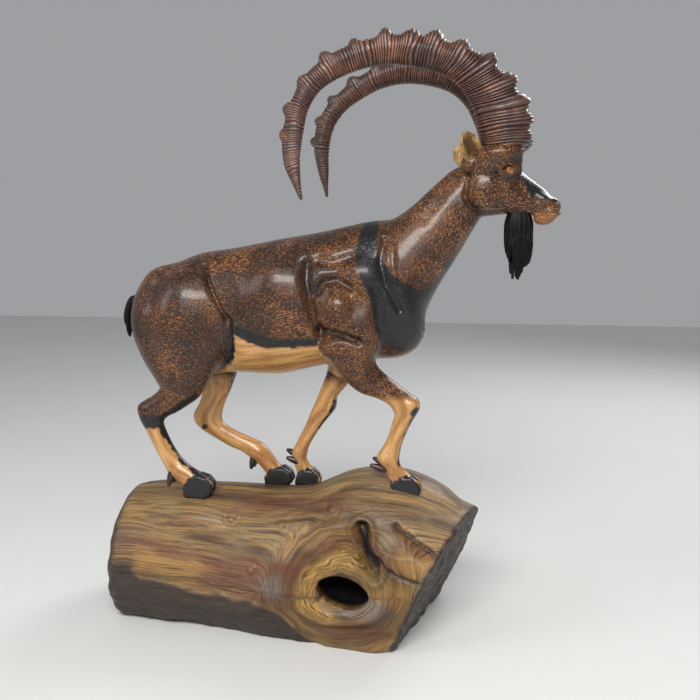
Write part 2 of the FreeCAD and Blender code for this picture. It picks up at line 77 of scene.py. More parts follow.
RIGHT_HIND_LEG = [
    RIGHT_HIND_JOINT, (-147, 268, -195, 276, 32, 33), (-161, 257, -204, 267, 32, 28),
    (-175, 248, -214, 261, 32, 25), (-187, 242, -222, 254, 32, 23), (-192, 235, -221, 240, 32, 21),
    (-189, 225, -213, 224, 32, 17), (-182, 210, -203, 204, 32, 16), (-173, 196, -194, 187, 32, 17),
    (-162, 185, -186, 174, 32, 20), (-152, 179, -174, 164, 32, 21), (-143, 173, -164, 158, 32, 21),
]
LEFT_HIND_JOINT = (-120, 288, -178, 284, 31, 38)
LEFT_HAUNCH = [(-124, 380, -214, 396, 15, 52), (-110, 344, -222, 354, 24, 62),
               (-108, 316, -206, 312, 28, 56), LEFT_HIND_JOINT]
LEFT_HIND_LEG = [
    LEFT_HIND_JOINT, (-130, 263, -166, 262, 31, 30), (-137, 248, -169, 247, 31, 25),
    (-141, 233, -176, 233, 31, 24), (-140, 224, -171, 217, 31, 21), (-131, 217, -142, 199, 31, 18),
    (-119, 211, -128, 192, 31, 17), (-106, 206, -115, 187, 31, 18), (-91, 199, -103, 178, 31, 21),
    (-80, 188, -95, 172, 31, 19), (-71, 175, -87, 163, 31, 20), (-64, 168, -82, 157, 31, 21),
]
LEFT_FRONT_JOINT = (19, 280, -8, 294, 28, 28)
LEFT_SHOULDER = [(62, 386, -8, 376, 20, 50), (54, 350, -14, 342, 24, 54),
                 (38, 316, -13, 312, 27, 44), LEFT_FRONT_JOINT]
LEFT_FRONT_LEG = [
    LEFT_FRONT_JOINT, (4, 261, -20, 261, 28, 22), (1, 246, -27, 245, 28, 21),
    (-15, 225, -35, 226, 28, 17), (-26, 208, -43, 210, 28, 15), (-32, 196, -49, 197, 28, 16),
    (-35, 185, -52, 188, 28, 18), (-32, 177, -49, 174, 28, 18), (-26, 168, -46, 165, 28, 21),
]
RIGHT_FRONT_JOINT = (57, 310, 33, 281, 30, 36)
RIGHT_SHOULDER = [(66, 392, 2, 384, 22, 50), (66, 356, -6, 350, 27, 52),
                  (62, 332, 4, 314, 30, 46), RIGHT_FRONT_JOINT]
RIGHT_FRONT_LEG = [
    RIGHT_FRONT_JOINT, (80, 289, 59, 271, 30, 28), (97, 276, 72, 264, 30, 25),
    (106, 262, 78, 254, 30, 23), (98, 246, 76, 245, 30, 18), (91, 231, 72, 231, 30, 16),
    (86, 216, 66, 217, 30, 16), (84, 202, 59, 204, 30, 20), (87, 193, 67, 190, 30, 18),
    (97, 184, 72, 179, 30, 21),
]
LEGS = {
    "right_hind_leg": (RIGHT, RIGHT_HAUNCH, RIGHT_HIND_LEG),
    "left_hind_leg": (LEFT, LEFT_HAUNCH, LEFT_HIND_LEG),
    "right_front_leg": (RIGHT, RIGHT_SHOULDER, RIGHT_FRONT_LEG),
    "left_front_leg": (LEFT, LEFT_SHOULDER, LEFT_FRONT_LEG),
}


# ---------------------------------------------------------------- numbers and fields

def smoothstep(low, high, value):
    share = np.clip((value - low) / (high - low), 0.0, 1.0)
    return share * share * (3.0 - 2.0 * share)


def smooth_min(first, second, blend):
    """The union of two fields, rounded over the given length where they meet."""
    if blend <= 0:
        return np.minimum(first, second)
    share = np.clip(0.5 + 0.5 * (second - first) / blend, 0.0, 1.0)
    return second + (first - second) * share - blend * share * (1.0 - share)


def smooth_max(first, second, blend):
    return -smooth_min(-first, -second, blend)


def lattice(cells, seed):
    """A repeatable random number from 0 to 1 for each whole-numbered cell."""
    mixed = (cells[..., 0].astype(np.uint32) * np.uint32(73856093)
             ^ cells[..., 1].astype(np.uint32) * np.uint32(19349663)
             ^ cells[..., 2].astype(np.uint32) * np.uint32(83492791)
             ^ np.uint32((seed * 2654435761) % 4294967296))
    mixed ^= mixed >> np.uint32(13)
    mixed *= np.uint32(1274126177)
    mixed ^= mixed >> np.uint32(16)
    return mixed.astype(np.float64) / 4294967295.0


def noise(points, size, seed=0):
    """Smooth random field from -1 to 1 with lumps about as wide as size, one size or one per axis."""
    scaled = points / np.asarray(size, float)
    cell = np.floor(scaled).astype(np.int64)
    share = scaled - cell
    share = share * share * (3.0 - 2.0 * share)
    total = np.zeros(len(points))
    for corner in range(8):
        step = np.array([corner & 1, (corner >> 1) & 1, (corner >> 2) & 1])
        weight = np.prod(np.where(step, share, 1.0 - share), axis=1)
        total += weight * lattice(cell + step + 65536, seed)
    return 2.0 * total - 1.0


def spline(points, per_span):
    """More points along a smooth curve through the given ones."""
    points = np.asarray(points, float)
    padded = np.vstack([2 * points[0] - points[1], points, 2 * points[-1] - points[-2]])
    shares = np.arange(per_span) / per_span
    rows = []
    for span in range(len(points) - 1):
        before, start, end, after = padded[span:span + 4]
        for t in shares:
            rows.append(0.5 * (2 * start + (end - before) * t
                               + (2 * before - 5 * start + 4 * end - after) * t ** 2
                               + (3 * start - before - 3 * end + after) * t ** 3))
    rows.append(points[-1])
    return np.array(rows)


def oval_distance(local, radii):
    """Close to the distance from an ellipsoid with these half sizes, from points in its own axes."""
    reach = np.sqrt(((local / radii) ** 2).sum(axis=-1))
    slope = np.sqrt(((local / radii ** 2) ** 2).sum(axis=-1))
    small = np.min(radii, axis=-1)
    return np.where(slope > 1e-9, reach * (reach - 1.0) / np.maximum(slope, 1e-9), -small)


class Ball:
    """An ellipsoid, turned about Y by a lean and then about Z by a yaw, both in degrees."""

    def __init__(self, centre, radii, lean=0.0, yaw=0.0):
        self.centre = np.asarray(centre, float)
        self.radii = np.asarray(radii, float)
        lean, yaw = math.radians(lean), math.radians(yaw)
        about_y = np.array([[math.cos(lean), 0, math.sin(lean)], [0, 1, 0],
                            [-math.sin(lean), 0, math.cos(lean)]])
        about_z = np.array([[math.cos(yaw), -math.sin(yaw), 0],
                            [math.sin(yaw), math.cos(yaw), 0], [0, 0, 1]])
        self.turn = about_z @ about_y
        reach = np.abs(self.turn) @ self.radii
        self.low, self.high = self.centre - reach, self.centre + reach

    def distance(self, points):
        return oval_distance((points - self.centre) @ self.turn, self.radii)


def normalised(rows):
    return rows / np.linalg.norm(rows, axis=1)[:, None]


def between(directions, number, share):
    """Directions part of the way from one station's to the next one's."""
    return normalised(directions[number] + share[:, None] * (directions[number + 1] - directions[number]))


SPAN_MARGIN = 14  # how far outside its own size a span of a sweep is still worked out


class Sweep:
    """A body drawn through oval stations. It also gives each point's place along and across itself."""

    def __init__(self, stations, side=LEFT, per_span=4):
        rows = spline(stations, per_span)
        edge = np.column_stack([rows[:, 0], rows[:, 1]])
        opposite = np.column_stack([rows[:, 2], rows[:, 3]])
        middle = (edge + opposite) / 2
        self.centres = np.column_stack([middle[:, 0], side * rows[:, 4], middle[:, 1]])
        rise = edge - opposite
        self.heights = np.linalg.norm(rise, axis=1) / 2
        self.widths = rows[:, 5] / 2
        self.ups = normalised(np.column_stack([rise[:, 0], np.zeros(len(rows)), rise[:, 1]]))
        self.normals = np.column_stack([self.ups[:, 2], np.zeros(len(rows)), -self.ups[:, 0]])
        backwards = (self.normals * np.gradient(self.centres, axis=0)).sum(axis=1) < 0
        self.normals[backwards] *= -1
        steps = np.linalg.norm(np.diff(self.centres, axis=0), axis=1)
        self.lengths = np.concatenate([[0], np.cumsum(steps)])
        reach = np.maximum(self.heights, self.widths)[:, None]
        self.low = (self.centres - reach).min(axis=0)
        self.high = (self.centres + reach).max(axis=0)

    def spans(self, points):
        """For every span, each point's distance and its place along, up and to the side."""
        for number in range(len(self.centres) - 1):
            start, end = self.centres[number:number + 2]
            axis = end - start
            length = np.linalg.norm(axis)
            reach = max(self.heights[number:number + 2].max(), self.widths[number:number + 2].max())
            low = np.minimum(start, end) - reach - SPAN_MARGIN
            high = np.maximum(start, end) + reach + SPAN_MARGIN
            near = np.all((points > low) & (points < high), axis=1)
            if not near.any():
                continue
            from_start = (points[near] - start) @ self.normals[number]
            from_end = (points[near] - end) @ self.normals[number + 1]
            gap = from_start - from_end
            raw = from_start / np.where(np.abs(gap) > 1e-6, gap, 1e-6)
            share = np.clip(raw, 0, 1)
            ups = between(self.ups, number, share)
            forwards = between(self.normals, number, share)
            local = points[near] - start - share[:, None] * axis
            up, forward = (local * ups).sum(axis=1), (local * forwards).sum(axis=1)
            place = np.column_stack([up, local[:, 1], forward])
            height = self.heights[number] * (1 - share) + self.heights[number + 1] * share
            width = self.widths[number] * (1 - share) + self.widths[number + 1] * share
            radii = np.column_stack([height, width, np.minimum(height, width)])
            distance = oval_distance(place[:, :2], radii[:, :2])
            beyond = (raw < 0) | (raw > 1)
            distance = np.where(beyond, np.hypot(np.maximum(distance, 0), place[:, 2]), distance)
            at_tip = (raw < 0) if number == 0 else (raw > 1) & (number == len(self.centres) - 2)
            distance[at_tip] = oval_distance(place[at_tip], radii[at_tip])
            yield near, distance, self.lengths[number] + share * length, place

    def distance(self, points):
        total = np.full(len(points), FAR)
        for near, distance, _, _ in self.spans(points):
            total[near] = np.minimum(total[near], distance)
        return total

    def place(self, points):
        """How far along the sweep each point is, and how far up and to the side of its middle line."""
        best = np.full(len(points), 1e9)
        result = np.zeros((len(points), 3))
        for near, distance, along, place in self.spans(points):
            rows = np.flatnonzero(near)
            better = distance < best[rows]
            rows = rows[better]
            best[rows] = distance[better]
            result[rows] = np.column_stack([along, place[:, 0], place[:, 1]])[better]
        return result


def line_distance(points, line, radii=None):
    """Distance to a line of straight pieces, or to a tube round it with a radius at each of its points."""
    line = np.asarray(line, float)
    best = np.full(len(points), 1e9)
    for number in range(len(line) - 1):
        start, end = line[number:number + 2]
        axis = end - start
        local = points - start
        share = np.clip(local @ axis / max(axis @ axis, 1e-9), 0, 1)
        apart = np.linalg.norm(local - share[:, None] * axis, axis=1)
        if radii is not None:
            apart = apart - (radii[number] * (1 - share) + radii[number + 1] * share)
        best = np.minimum(best, apart)
    return best


def signed_outline(points, outline):
    """Distance to a closed outline in the plane, below zero inside it."""
    outline = np.asarray(outline, float)
    closed = np.vstack([outline, outline[:1]])
    inside = np.zeros(len(points), bool)
    for start, end in zip(closed[:-1], closed[1:]):
        crosses = (start[1] > points[:, 1]) != (end[1] > points[:, 1])
        run = end[1] - start[1] if abs(end[1] - start[1]) > 1e-9 else 1e-9
        where = start[0] + (points[:, 1] - start[1]) * (end[0] - start[0]) / run
        inside ^= crosses & (points[:, 0] < where)
    distance = line_distance(points, closed)
    return np.where(inside, -distance, distance)


def outline_mask(points, outline, soft):
    """1 inside a closed outline and 0 outside, changing over the soft length at its edge."""
    return smoothstep(soft, -soft, signed_outline(points, outline))


def fade(distance, width):
    """1 at no distance, falling off over about the width."""
    return np.exp(-(distance / width) ** 2)


def line_fade(points, line, width):
    """1 on a line, falling off over about the width to both sides."""
    return fade(line_distance(points, line), width)


def oval_reach(flat, middle, radii):
    """How far out of an oval in the side view each point is: 0 in its middle and 1 on its edge."""
    return np.hypot((flat[:, 0] - middle[0]) / radii[0], (flat[:, 1] - middle[1]) / radii[1])


def side_view(points):
    return points[:, [0, 2]]


# ---------------------------------------------------------------- carving: fields to meshes

def inside_box(points, shape, blend):
    """Which points are near enough to a shape's box for it to matter."""
    margin = blend + NEAR_MARGIN
    return np.all((points > shape.low - margin) & (points < shape.high + margin), axis=1)


class Carving:
    """Shapes joined with rounded seams, then worked over with lines that cut in or stand out."""

    def __init__(self):
        self.shapes = []
        self.strokes = []
        self.cuts = []

    def add(self, shape, blend):
        self.shapes.append((shape, blend))

    def cut(self, shape, blend):
        """Take a shape away, rounding the rim over the blend length."""
        self.cuts.append((shape, blend))

    def add_forms(self, side, forms, shift=0):
        """Add ellipsoids given as (centre, radii, lean, blend) to one side, moved along X by the shift."""
        for (x, y, z), radii, lean, blend in forms:
            self.add(Ball((x + shift, side * y, z), radii, lean), blend)

    def add_lines(self, side, lines, shift=0):
        """Add grooves given as (line in the side view, width, depth, clear) to one side.

        A negative depth makes a ridge. Nothing is cut closer to the middle plane than clear.
        """
        for line, width, depth, clear in lines:
            self.strokes.append((side, np.asarray(line, float) + (shift, 0), width, depth, clear))

    def field(self, points):
        total = np.full(len(points), FAR)
        for shape, blend in self.shapes:
            near = inside_box(points, shape, blend)
            if near.any():
                total[near] = smooth_min(total[near], shape.distance(points[near]), blend)
        for side, line, width, depth, clear in self.strokes:
            low, high = line.min(axis=0) - 3 * width, line.max(axis=0) + 3 * width
            flat = side_view(points)
            near = np.all((flat > low) & (flat < high), axis=1) & (side * points[:, 1] > clear)
            if near.any():
                rise = smoothstep(clear, clear + 8, side * points[near, 1])
                total[near] += depth * line_fade(flat[near], line, width) * rise
        for shape, blend in self.cuts:
            near = inside_box(points, shape, blend)
            if near.any():
                total[near] = smooth_max(total[near], -shape.distance(points[near]), blend)
        return total


BLOCK = 8  # grid points along each edge of a block
BLOCKS_AT_ONCE = 400


def surface(field, low, high, spacing):
    """The zero surface of a field as points and four-sided faces, on a grid shared by all pieces.

    The field is worked out in full only in the blocks that its value at their middle puts near the surface.
    """
    size = BLOCK * spacing
    first = np.floor(np.asarray(low) / spacing).astype(int) - BLOCK
    count = np.ceil((np.asarray(high) - np.asarray(low)) / size).astype(int) + 3
    corner = np.stack(np.meshgrid(*[np.arange(n) for n in count], indexing="ij"), axis=-1).reshape(-1, 3)
    rough = field((first + corner * BLOCK + (BLOCK - 1) / 2) * spacing)
    reach = 2.5 * spacing
    grid = np.empty(count * BLOCK, np.float32)
    inner = np.stack(np.meshgrid(*[np.arange(BLOCK)] * 3, indexing="ij"), axis=-1).reshape(-1, 3)

    def fill(row, value):
        x, y, z = corner[row] * BLOCK
        grid[x:x + BLOCK, y:y + BLOCK, z:z + BLOCK] = value

    close = np.abs(rough) < size * 1.45 + reach
    for row in np.flatnonzero(~close):
        fill(row, math.copysign(reach, rough[row]))
    rows = np.flatnonzero(close)
    for part in np.array_split(rows, max(1, len(rows) // BLOCKS_AT_ONCE)):
        points = ((first + corner[part] * BLOCK)[:, None, :] + inner) * spacing
        values = np.clip(field(points.reshape(-1, 3)), -reach, reach)
        for row, value in zip(part, values.reshape(len(part), BLOCK, BLOCK, BLOCK)):
            fill(row, value)
    volume = openvdb.FloatGrid(float(reach))
    volume.copyFromArray(grid, tolerance=0.0)
    points, quads = volume.convertToQuads(0.0)
    return (points.astype(float) + first) * spacing, quads.astype(np.int64)


def make_object(name, points, faces):
    mesh = bpy.data.meshes.new(name)
    mesh.from_pydata((np.asarray(points) * MM).tolist(), [], [list(map(int, face)) for face in faces])
    mesh.validate()
    mesh.polygons.foreach_set("use_smooth", [True] * len(mesh.polygons))
    obj = bpy.data.objects.new(name, mesh)
    bpy.context.scene.collection.objects.link(obj)
    return obj


def points_of(obj):
    flat = np.empty(len(obj.data.vertices) * 3)
    obj.data.vertices.foreach_get("co", flat)
    return flat.reshape(-1, 3) / MM


def attach(obj, name, values):
    """Store a number or a vector for every point of a piece, for its material to read."""
    values = np.asarray(values, float)
    kind = "FLOAT" if values.ndim == 1 else "FLOAT_VECTOR"
    attribute = obj.data.attributes.new(name, kind, "POINT")
    attribute.data.foreach_set("value" if kind == "FLOAT" else "vector", values.ravel())


def mark(obj, **shares):
    """Store named shares, each held between 0 and 1, for every point of a piece."""
    for name, values in shares.items():
        attach(obj, name, np.clip(values, 0, 1))


def joint_plane(station, side):
    """A point on a glued joint and the direction square to it, from the joint's oval."""
    edge_x, edge_z, opposite_x, opposite_z, offset, _ = station
    lean = math.atan2(edge_x - opposite_x, edge_z - opposite_z)
    point = np.array([(edge_x + opposite_x) / 2, side * offset, (edge_z + opposite_z) / 2])
    return point, np.array([math.cos(lean), 0.0, -math.sin(lean)])


@contextmanager
def edited(obj):
    """Open a piece's mesh for editing and put it back afterwards."""
    mesh = bmesh.new()
    mesh.from_mesh(obj.data)
    yield mesh
    mesh.to_mesh(obj.data)
    mesh.free()


def face_middles(mesh):
    mesh.faces.ensure_lookup_table()
    return np.array([face.calc_center_median() for face in mesh.faces]) / MM


def faces_where(mesh, chosen):
    return [mesh.faces[row] for row in np.flatnonzero(chosen)]


def saw(mesh, point, direction, tube=None):
    """Saw off what lies beyond a plane, or only the part of it inside the tube of one limb."""
    def measure():
        middles = face_middles(mesh)
        inside = tube.distance(middles) < TUBE if tube else np.full(len(middles), True)
        return inside, (middles - point) @ direction

    inside, beyond = measure()
    faces = faces_where(mesh, inside & (np.abs(beyond) < SAW_ZONE))
    geometry = set(faces)
    for face in faces:
        geometry.update(face.edges)
        geometry.update(face.verts)
    bmesh.ops.bisect_plane(mesh, geom=list(geometry), dist=1e-6, plane_co=Vector(point) * MM,
                           plane_no=Vector(direction))
    inside, beyond = measure()
    bmesh.ops.delete(mesh, geom=faces_where(mesh, inside & (beyond > 1e-3)), context="FACES")


def keep_largest(mesh):
    """Delete every loose part of a mesh but its largest."""
    parts = []
    seen = set()
    for vertex in mesh.verts:
        if vertex in seen:
            continue
        stack, part = [vertex], []
        seen.add(vertex)
        while stack:
            current = stack.pop()
            part.append(current)
            for edge in current.link_edges:
                other = edge.other_vert(current)
                if other not in seen:
                    seen.add(other)
                    stack.append(other)
        parts.append(part)
    parts.sort(key=len)
    bmesh.ops.delete(mesh, geom=[vertex for part in parts[:-1] for vertex in part], context="VERTS")


def cap_holes(mesh):
    """Close the sawn ends with flat faces and keep their rims sharp."""
    rim = [edge for edge in mesh.edges if edge.is_boundary]
    filled = bmesh.ops.holes_fill(mesh, edges=rim, sides=0)
    for face in filled["faces"]:
        face.smooth = False
    for edge in rim:
        edge.smooth = False
    bmesh.ops.triangulate(mesh, faces=filled["faces"])


# ---------------------------------------------------------------- the animal's body as one field

torso_and_neck = Sweep(TORSO_AND_NECK)
head = Sweep(HEAD)
whole_limbs = {name: Sweep(stump + leg[1:], side) for name, (side, stump, leg) in LEGS.items()}
legs = {name: Sweep(leg, side) for name, (side, _, leg) in LEGS.items()}


# Forms are (centre, radii, lean, blend) and lines are (line in the side view, width, depth, clear).
# Centres have Y measured outwards from the middle plane, and both tables are used on each side.
HEAD_FORMS = [
    ((172, 16, 501), (21, 13, 25), 15, 5),  # cheek
    ((186, 18, 529), (26, 17, 15), -6, 4),  # crown
    ((186, 21, 538.5), (27, 20, 11), -6, 5),  # horn seat
    ((158, 19, 527), (12, 13, 13), 10, 5),  # ear root
    ((196, 17, 521.5), (16, 10, 11), 14, 5),  # brow
    ((236, 8, 489), (11, 6, 6), 38, 4),  # nostril
    ((244, 7, 477), (10, 7, 6), 10, 3),  # upper lip
    ((237, 4, 470), (11, 7, 7), -8, 5),  # lower lip
]
MOUTH = [(253, 478), (245, 475), (235, 474.5), (226, 477)]
HEAD_LINES = [
    ([(183, 517), (190, 511), (201, 511), (209, 517)], 1.5, 1.3, 8),
    ([(157, 522), (154, 508), (152, 494), (156, 484), (168, 478), (186, 476)], 3.0, 2.8, 6),
    (MOUTH, 1.1, 1.2, 2),
    ([(252, 487), (247, 489), (243, 487)], 1.4, 2.2, 3),
    ([(181, 511), (190, 505), (203, 505), (212, 511)], 1.6, 1.0, 8),
    ([(206, 508), (213, 498), (218, 488)], 4.0, 1.4, 6),
    ([(182, 522), (190, 530), (203, 531), (209, 525)], 1.6, 1.0, 10),
]
EYE_SOCKET = ((197.5, 29.5, 521.5), (7.0, 4.6, 4.4), 14)
HIP_CREASE = [(-138, 416), (-130, 398), (-120, 378), (-108, 358)]
RUMP_FORMS = [((-164, 35, 362), (40, 25, 46), 10, 12), ((-152, 36, 326), (28, 19, 32), 30, 10)]
RUMP_LINES = [
    (HIP_CREASE, 2.8, 4.4, 12),
    ([(-108, 358), (-107, 336), (-111, 316), (-118, 300)], 6.0, 4.6, 12),
    ([(-208, 352), (-197, 326), (-186, 306)], 8.0, 2.6, 16),
    ([(-184, 408), (-194, 382), (-194, 350)], 10.0, 2.2, 16),
]
SHOULDER_CREASES = [
    [(-18, 420), (-18, 402), (-14, 384), (-10, 361), (-3, 341)],
    [(-6, 390), (2, 401), (16, 404), (31, 396)],
    [(-3, 350), (10, 346), (26, 343), (40, 338)],
]
SHOULDER_FORMS = [
    ((17, 42, 374), (19, 20, 21), -14, 5), ((42, 34, 406), (22, 18, 22), -40, 8),
    ((40, 38, 354), (17, 17, 26), 24, 7), ((10, 38, 330), (18, 15, 11), -24, 5),
]
SHOULDER_LINES = [
    (SHOULDER_CREASES[0], 6.0, 7.0, 14),
    (SHOULDER_CREASES[1], 5.0, 6.0, 14),
    (SHOULDER_CREASES[2], 4.4, 6.5, 14),
    ([(-6, 424), (12, 422), (30, 428)], 6.0, 3.0, 14),
    ([(57, 396), (62, 376), (62, 352)], 5.0, 3.0, 14),
]
CHEST_FORMS = [((-54, 40, 386), (30, 16, 34), 0, 14)]
CHEST_LINES = [
    ([(66, 446), (63, 424), (69, 400), (84, 372)], 4.0, 3.4, 10),
    ([(76, 440), (77, 420), (80, 400)], 3.0, -1.4, 10),
    ([(-96, 352), (-80, 343), (-60, 340), (-30, 341), (-8, 342)], 2.4, 1.4, 20),
    ([(110, 470), (128, 500), (146, 518)], 8.0, 1.4, 8),
]
MUZZLE_FORM = ((245, 0, 483), (9, 9, 8), 25, 4)
BREAST_FORM = ((76, 0, 342), (26, 28, 24), 20, 14)
# How far the thigh and the shoulder of each side are moved along X with their leg.
THIGH_SHIFT = {RIGHT: 0, LEFT: 6}
SHOULDER_SHIFT = {RIGHT: 0, LEFT: -4}


# Bony places on each leg as forms, measured out from the leg's own middle plane.
LEG_BONES = {
    "right_hind_leg": [((-214, 0, 249), (8, 8, 7), 40, 4), ((-174, 0, 178), (10, 10, 8), 40, 4)],
    "left_hind_leg": [((-168, 0, 229), (8, 8, 8), 50, 4), ((-95, 0, 187), (9, 10, 9), 30, 4)],
    "right_front_leg": [((97, 0, 266), (9, 12, 9), 30, 4), ((70, 0, 203), (10, 10, 7), 0, 4)],
    "left_front_leg": [((-8, 0, 250), (8, 11, 10), 20, 4), ((-43, 0, 190), (8, 9, 7), 20, 4)],
}

# The side outline of each hoof: sole, toe, crown and heel as (x, z).
HOOVES = {
    "right_hind_leg": [(-168, 148), (-141, 147), (-134, 154), (-132, 164), (-138, 172), (-150, 176),
                       (-159, 172), (-167, 162)],
    "left_hind_leg": [(-86, 147), (-58, 147), (-51, 154), (-54, 164), (-62, 171), (-71, 171),
                      (-79, 167), (-87, 157)],
    "right_front_leg": [(73, 160), (108, 160), (109.5, 168), (105, 178), (99, 184), (88, 183), (76, 176)],
    "left_front_leg": [(-48, 149), (-18, 149), (-17, 155), (-21, 164), (-27, 171), (-34, 171), (-45, 165)],
}
HOOF_ROUNDING = 5.0
TOE_SPACING = 11.6
TOE_WIDTH = 10.6
TOE_EDGE = 4.5


class Toe:
    """One toe of a hoof: a plate with the hoof's side outline, rounded at its corners and rims."""

    def __init__(self, outline, middle_y):
        outline = np.asarray(outline, float)
        self.middle_y, self.half = middle_y, TOE_WIDTH / 2
        low, high = outline.min(axis=0), outline.max(axis=0)
        middle = (low + high) / 2
        self.outline = middle + (outline - middle) * (1 - 2 * HOOF_ROUNDING / (high - low))
        self.low = np.array([low[0], middle_y - self.half, low[1]])
        self.high = np.array([high[0], middle_y + self.half, high[1]])

    def distance(self, points):
        flat = signed_outline(side_view(points), self.outline) - HOOF_ROUNDING
        side = np.abs(points[:, 1] - self.middle_y) - self.half
        return smooth_max(flat, side, TOE_EDGE)


def leg_middle(name):
    """The Y of a leg's own middle plane at its foot."""
    side, _, leg = LEGS[name]
    return side * leg[-1][4]


def body_carving():
    """The whole animal but its horns, ears, eyes, beard, tail and dewclaws, as one carving."""
    carving = Carving()
    carving.add(torso_and_neck, 0)
    carving.add(head, 8)
    for name, limb in whole_limbs.items():
        carving.add(limb, 10 if "hind" in name else 8)
    socket, radii, lean = EYE_SOCKET
    for forms, lines, shifts in ((HEAD_FORMS, HEAD_LINES, {}), (RUMP_FORMS, RUMP_LINES, THIGH_SHIFT),
                                 (SHOULDER_FORMS, SHOULDER_LINES, SHOULDER_SHIFT),
                                 (CHEST_FORMS, CHEST_LINES, {})):
        for side in (RIGHT, LEFT):
            carving.add_forms(side, forms, shifts.get(side, 0))
            carving.add_lines(side, lines, shifts.get(side, 0))
    for side in (RIGHT, LEFT):
        carving.cut(Ball((socket[0], side * socket[1], socket[2]), radii, lean), 2)
    carving.add_forms(RIGHT, [MUZZLE_FORM, BREAST_FORM])
    for name, bones in LEG_BONES.items():
        for (x, _, z), radii, lean, blend in bones:
            carving.add(Ball((x, leg_middle(name), z), radii, lean), blend)
    for name, outline in HOOVES.items():
        for toe in (-1, 1):
            carving.add(Toe(outline, leg_middle(name) + toe * TOE_SPACING / 2), 1.0)
    return carving


# ---------------------------------------------------------------- the wooden pieces of the animal

body = body_carving()
COARSE = 1.0
LEG_BOXES = {
    "right_hind_leg": ((-232, -60, 136), (-118, -2, 296)),
    "left_hind_leg": ((-190, 2, 136), (-40, 58, 296)),
    "right_front_leg": ((26, -58, 148), (118, -4, 318)),
    "left_front_leg": ((-62, 4, 144), (26, 54, 300)),
}
LEG_TOP = 25  # how far below a leg's joint anything outside the leg itself is trimmed off


def carve(name, field, low, high, spacing, work=None):
    """Mesh the surface of a field inside a box. The work function saws it, and the sawn ends are closed."""
    points, quads = surface(field, low, high, spacing * COARSE)
    obj = make_object(name, points, quads)
    with edited(obj) as mesh:
        if work:
            work(mesh)
        keep_largest(mesh)
        if work:
            cap_holes(mesh)
    return obj


def leg_joint(name):
    """The plane of the joint at the top of a leg."""
    side, _, leg = LEGS[name]
    return joint_plane(leg[0], side)


def build_trunk():
    def work(mesh):
        saw(mesh, *joint_plane(NECK_JOINT, LEFT))
        for name, leg in legs.items():
            saw(mesh, *leg_joint(name), leg)
    return carve("carved_trunk", body.field, (-245, -66, 268), (112, 66, 475), 1.75, work)


def build_neck_and_head():
    def work(mesh):
        point, direction = joint_plane(NECK_JOINT, LEFT)
        saw(mesh, point, -direction)
    return carve("carved_neck_and_head", body.field, (48, -56, 332), (262, 56, 562), 1.25, work)


def build_leg(name):
    point, direction = leg_joint(name)

    def work(mesh):
        saw(mesh, point, -direction)
        middles = face_middles(mesh)
        high = (middles[:, 2] > point[2] - LEG_TOP) & (legs[name].distance(middles) > TUBE)
        bmesh.ops.delete(mesh, geom=faces_where(mesh, high), context="FACES")
    low, high = LEG_BOXES[name]
    return carve("carved_" + name, body.field, low, high, 0.95, work)


# ---------------------------------------------------------------- horns

RIGHT_HORN = [
    (210, 528, 168, 532, 18, 34), (214, 560, 166, 556, 19, 34), (210, 592, 159, 582, 22, 33),
    (191, 620, 149, 601, 27, 31), (162, 642, 133, 615, 33, 29), (122, 655, 110, 623, 40, 27),
    (84, 659, 81, 628, 46, 25), (48, 654, 55, 626, 51, 23), (14, 641, 26, 617, 55, 21),
    (-14, 620, 2, 603, 58, 18), (-30, 592, -11, 583, 61, 16), (-39, 560, -17, 557, 63, 13),
    (-38, 528, -20, 531, 65, 10), (-27, 503, -19, 505, 66, 6), (-20, 489, -17, 490, 67, 2.5),
]
LEFT_HORN = [
    (210, 528, 168, 532, 18, 34), (213, 560, 165, 556, 19, 34), (207, 590, 157, 580, 22, 33),
    (188, 616, 146, 598, 27, 31), (158, 637, 130, 611, 33, 29), (120, 650, 108, 619, 40, 27),
    (84, 653, 81, 623, 46, 25), (50, 645, 56, 620, 51, 23), (19, 630, 31, 610, 55, 21),
    (-9, 608, 8, 595, 59, 18), (-26, 583, -6, 576, 62, 15), (-31, 554, -12, 552, 64, 12),
    (-26, 526, -13, 528, 65, 8.5), (-20, 507, -14, 508, 66, 5), (-17, 496, -14, 497, 66, 2.5),
]
HORNS = {"right_horn": (RIGHT_HORN, RIGHT, 3), "left_horn": (LEFT_HORN, LEFT, 7)}  # stations, side, seed
# Where the knobs are, as shares of a horn's length.
KNOB_PLACES = (0.055, 0.1, 0.145, 0.195, 0.25, 0.31, 0.37, 0.428, 0.49, 0.56, 0.63, 0.7, 0.77, 0.835)


# What the ring pattern and the knobs are made with, in millimetres where they are lengths.
HORN_RINGS = 100  # growth rings along a horn, before they crowd together towards the tip
RING_DEPTH = 1.9
PEG_SHARE, PEG_LENGTH = 0.55, 0.04  # the root inside the skull: its size and its share of the length
THINNEST = 0.4


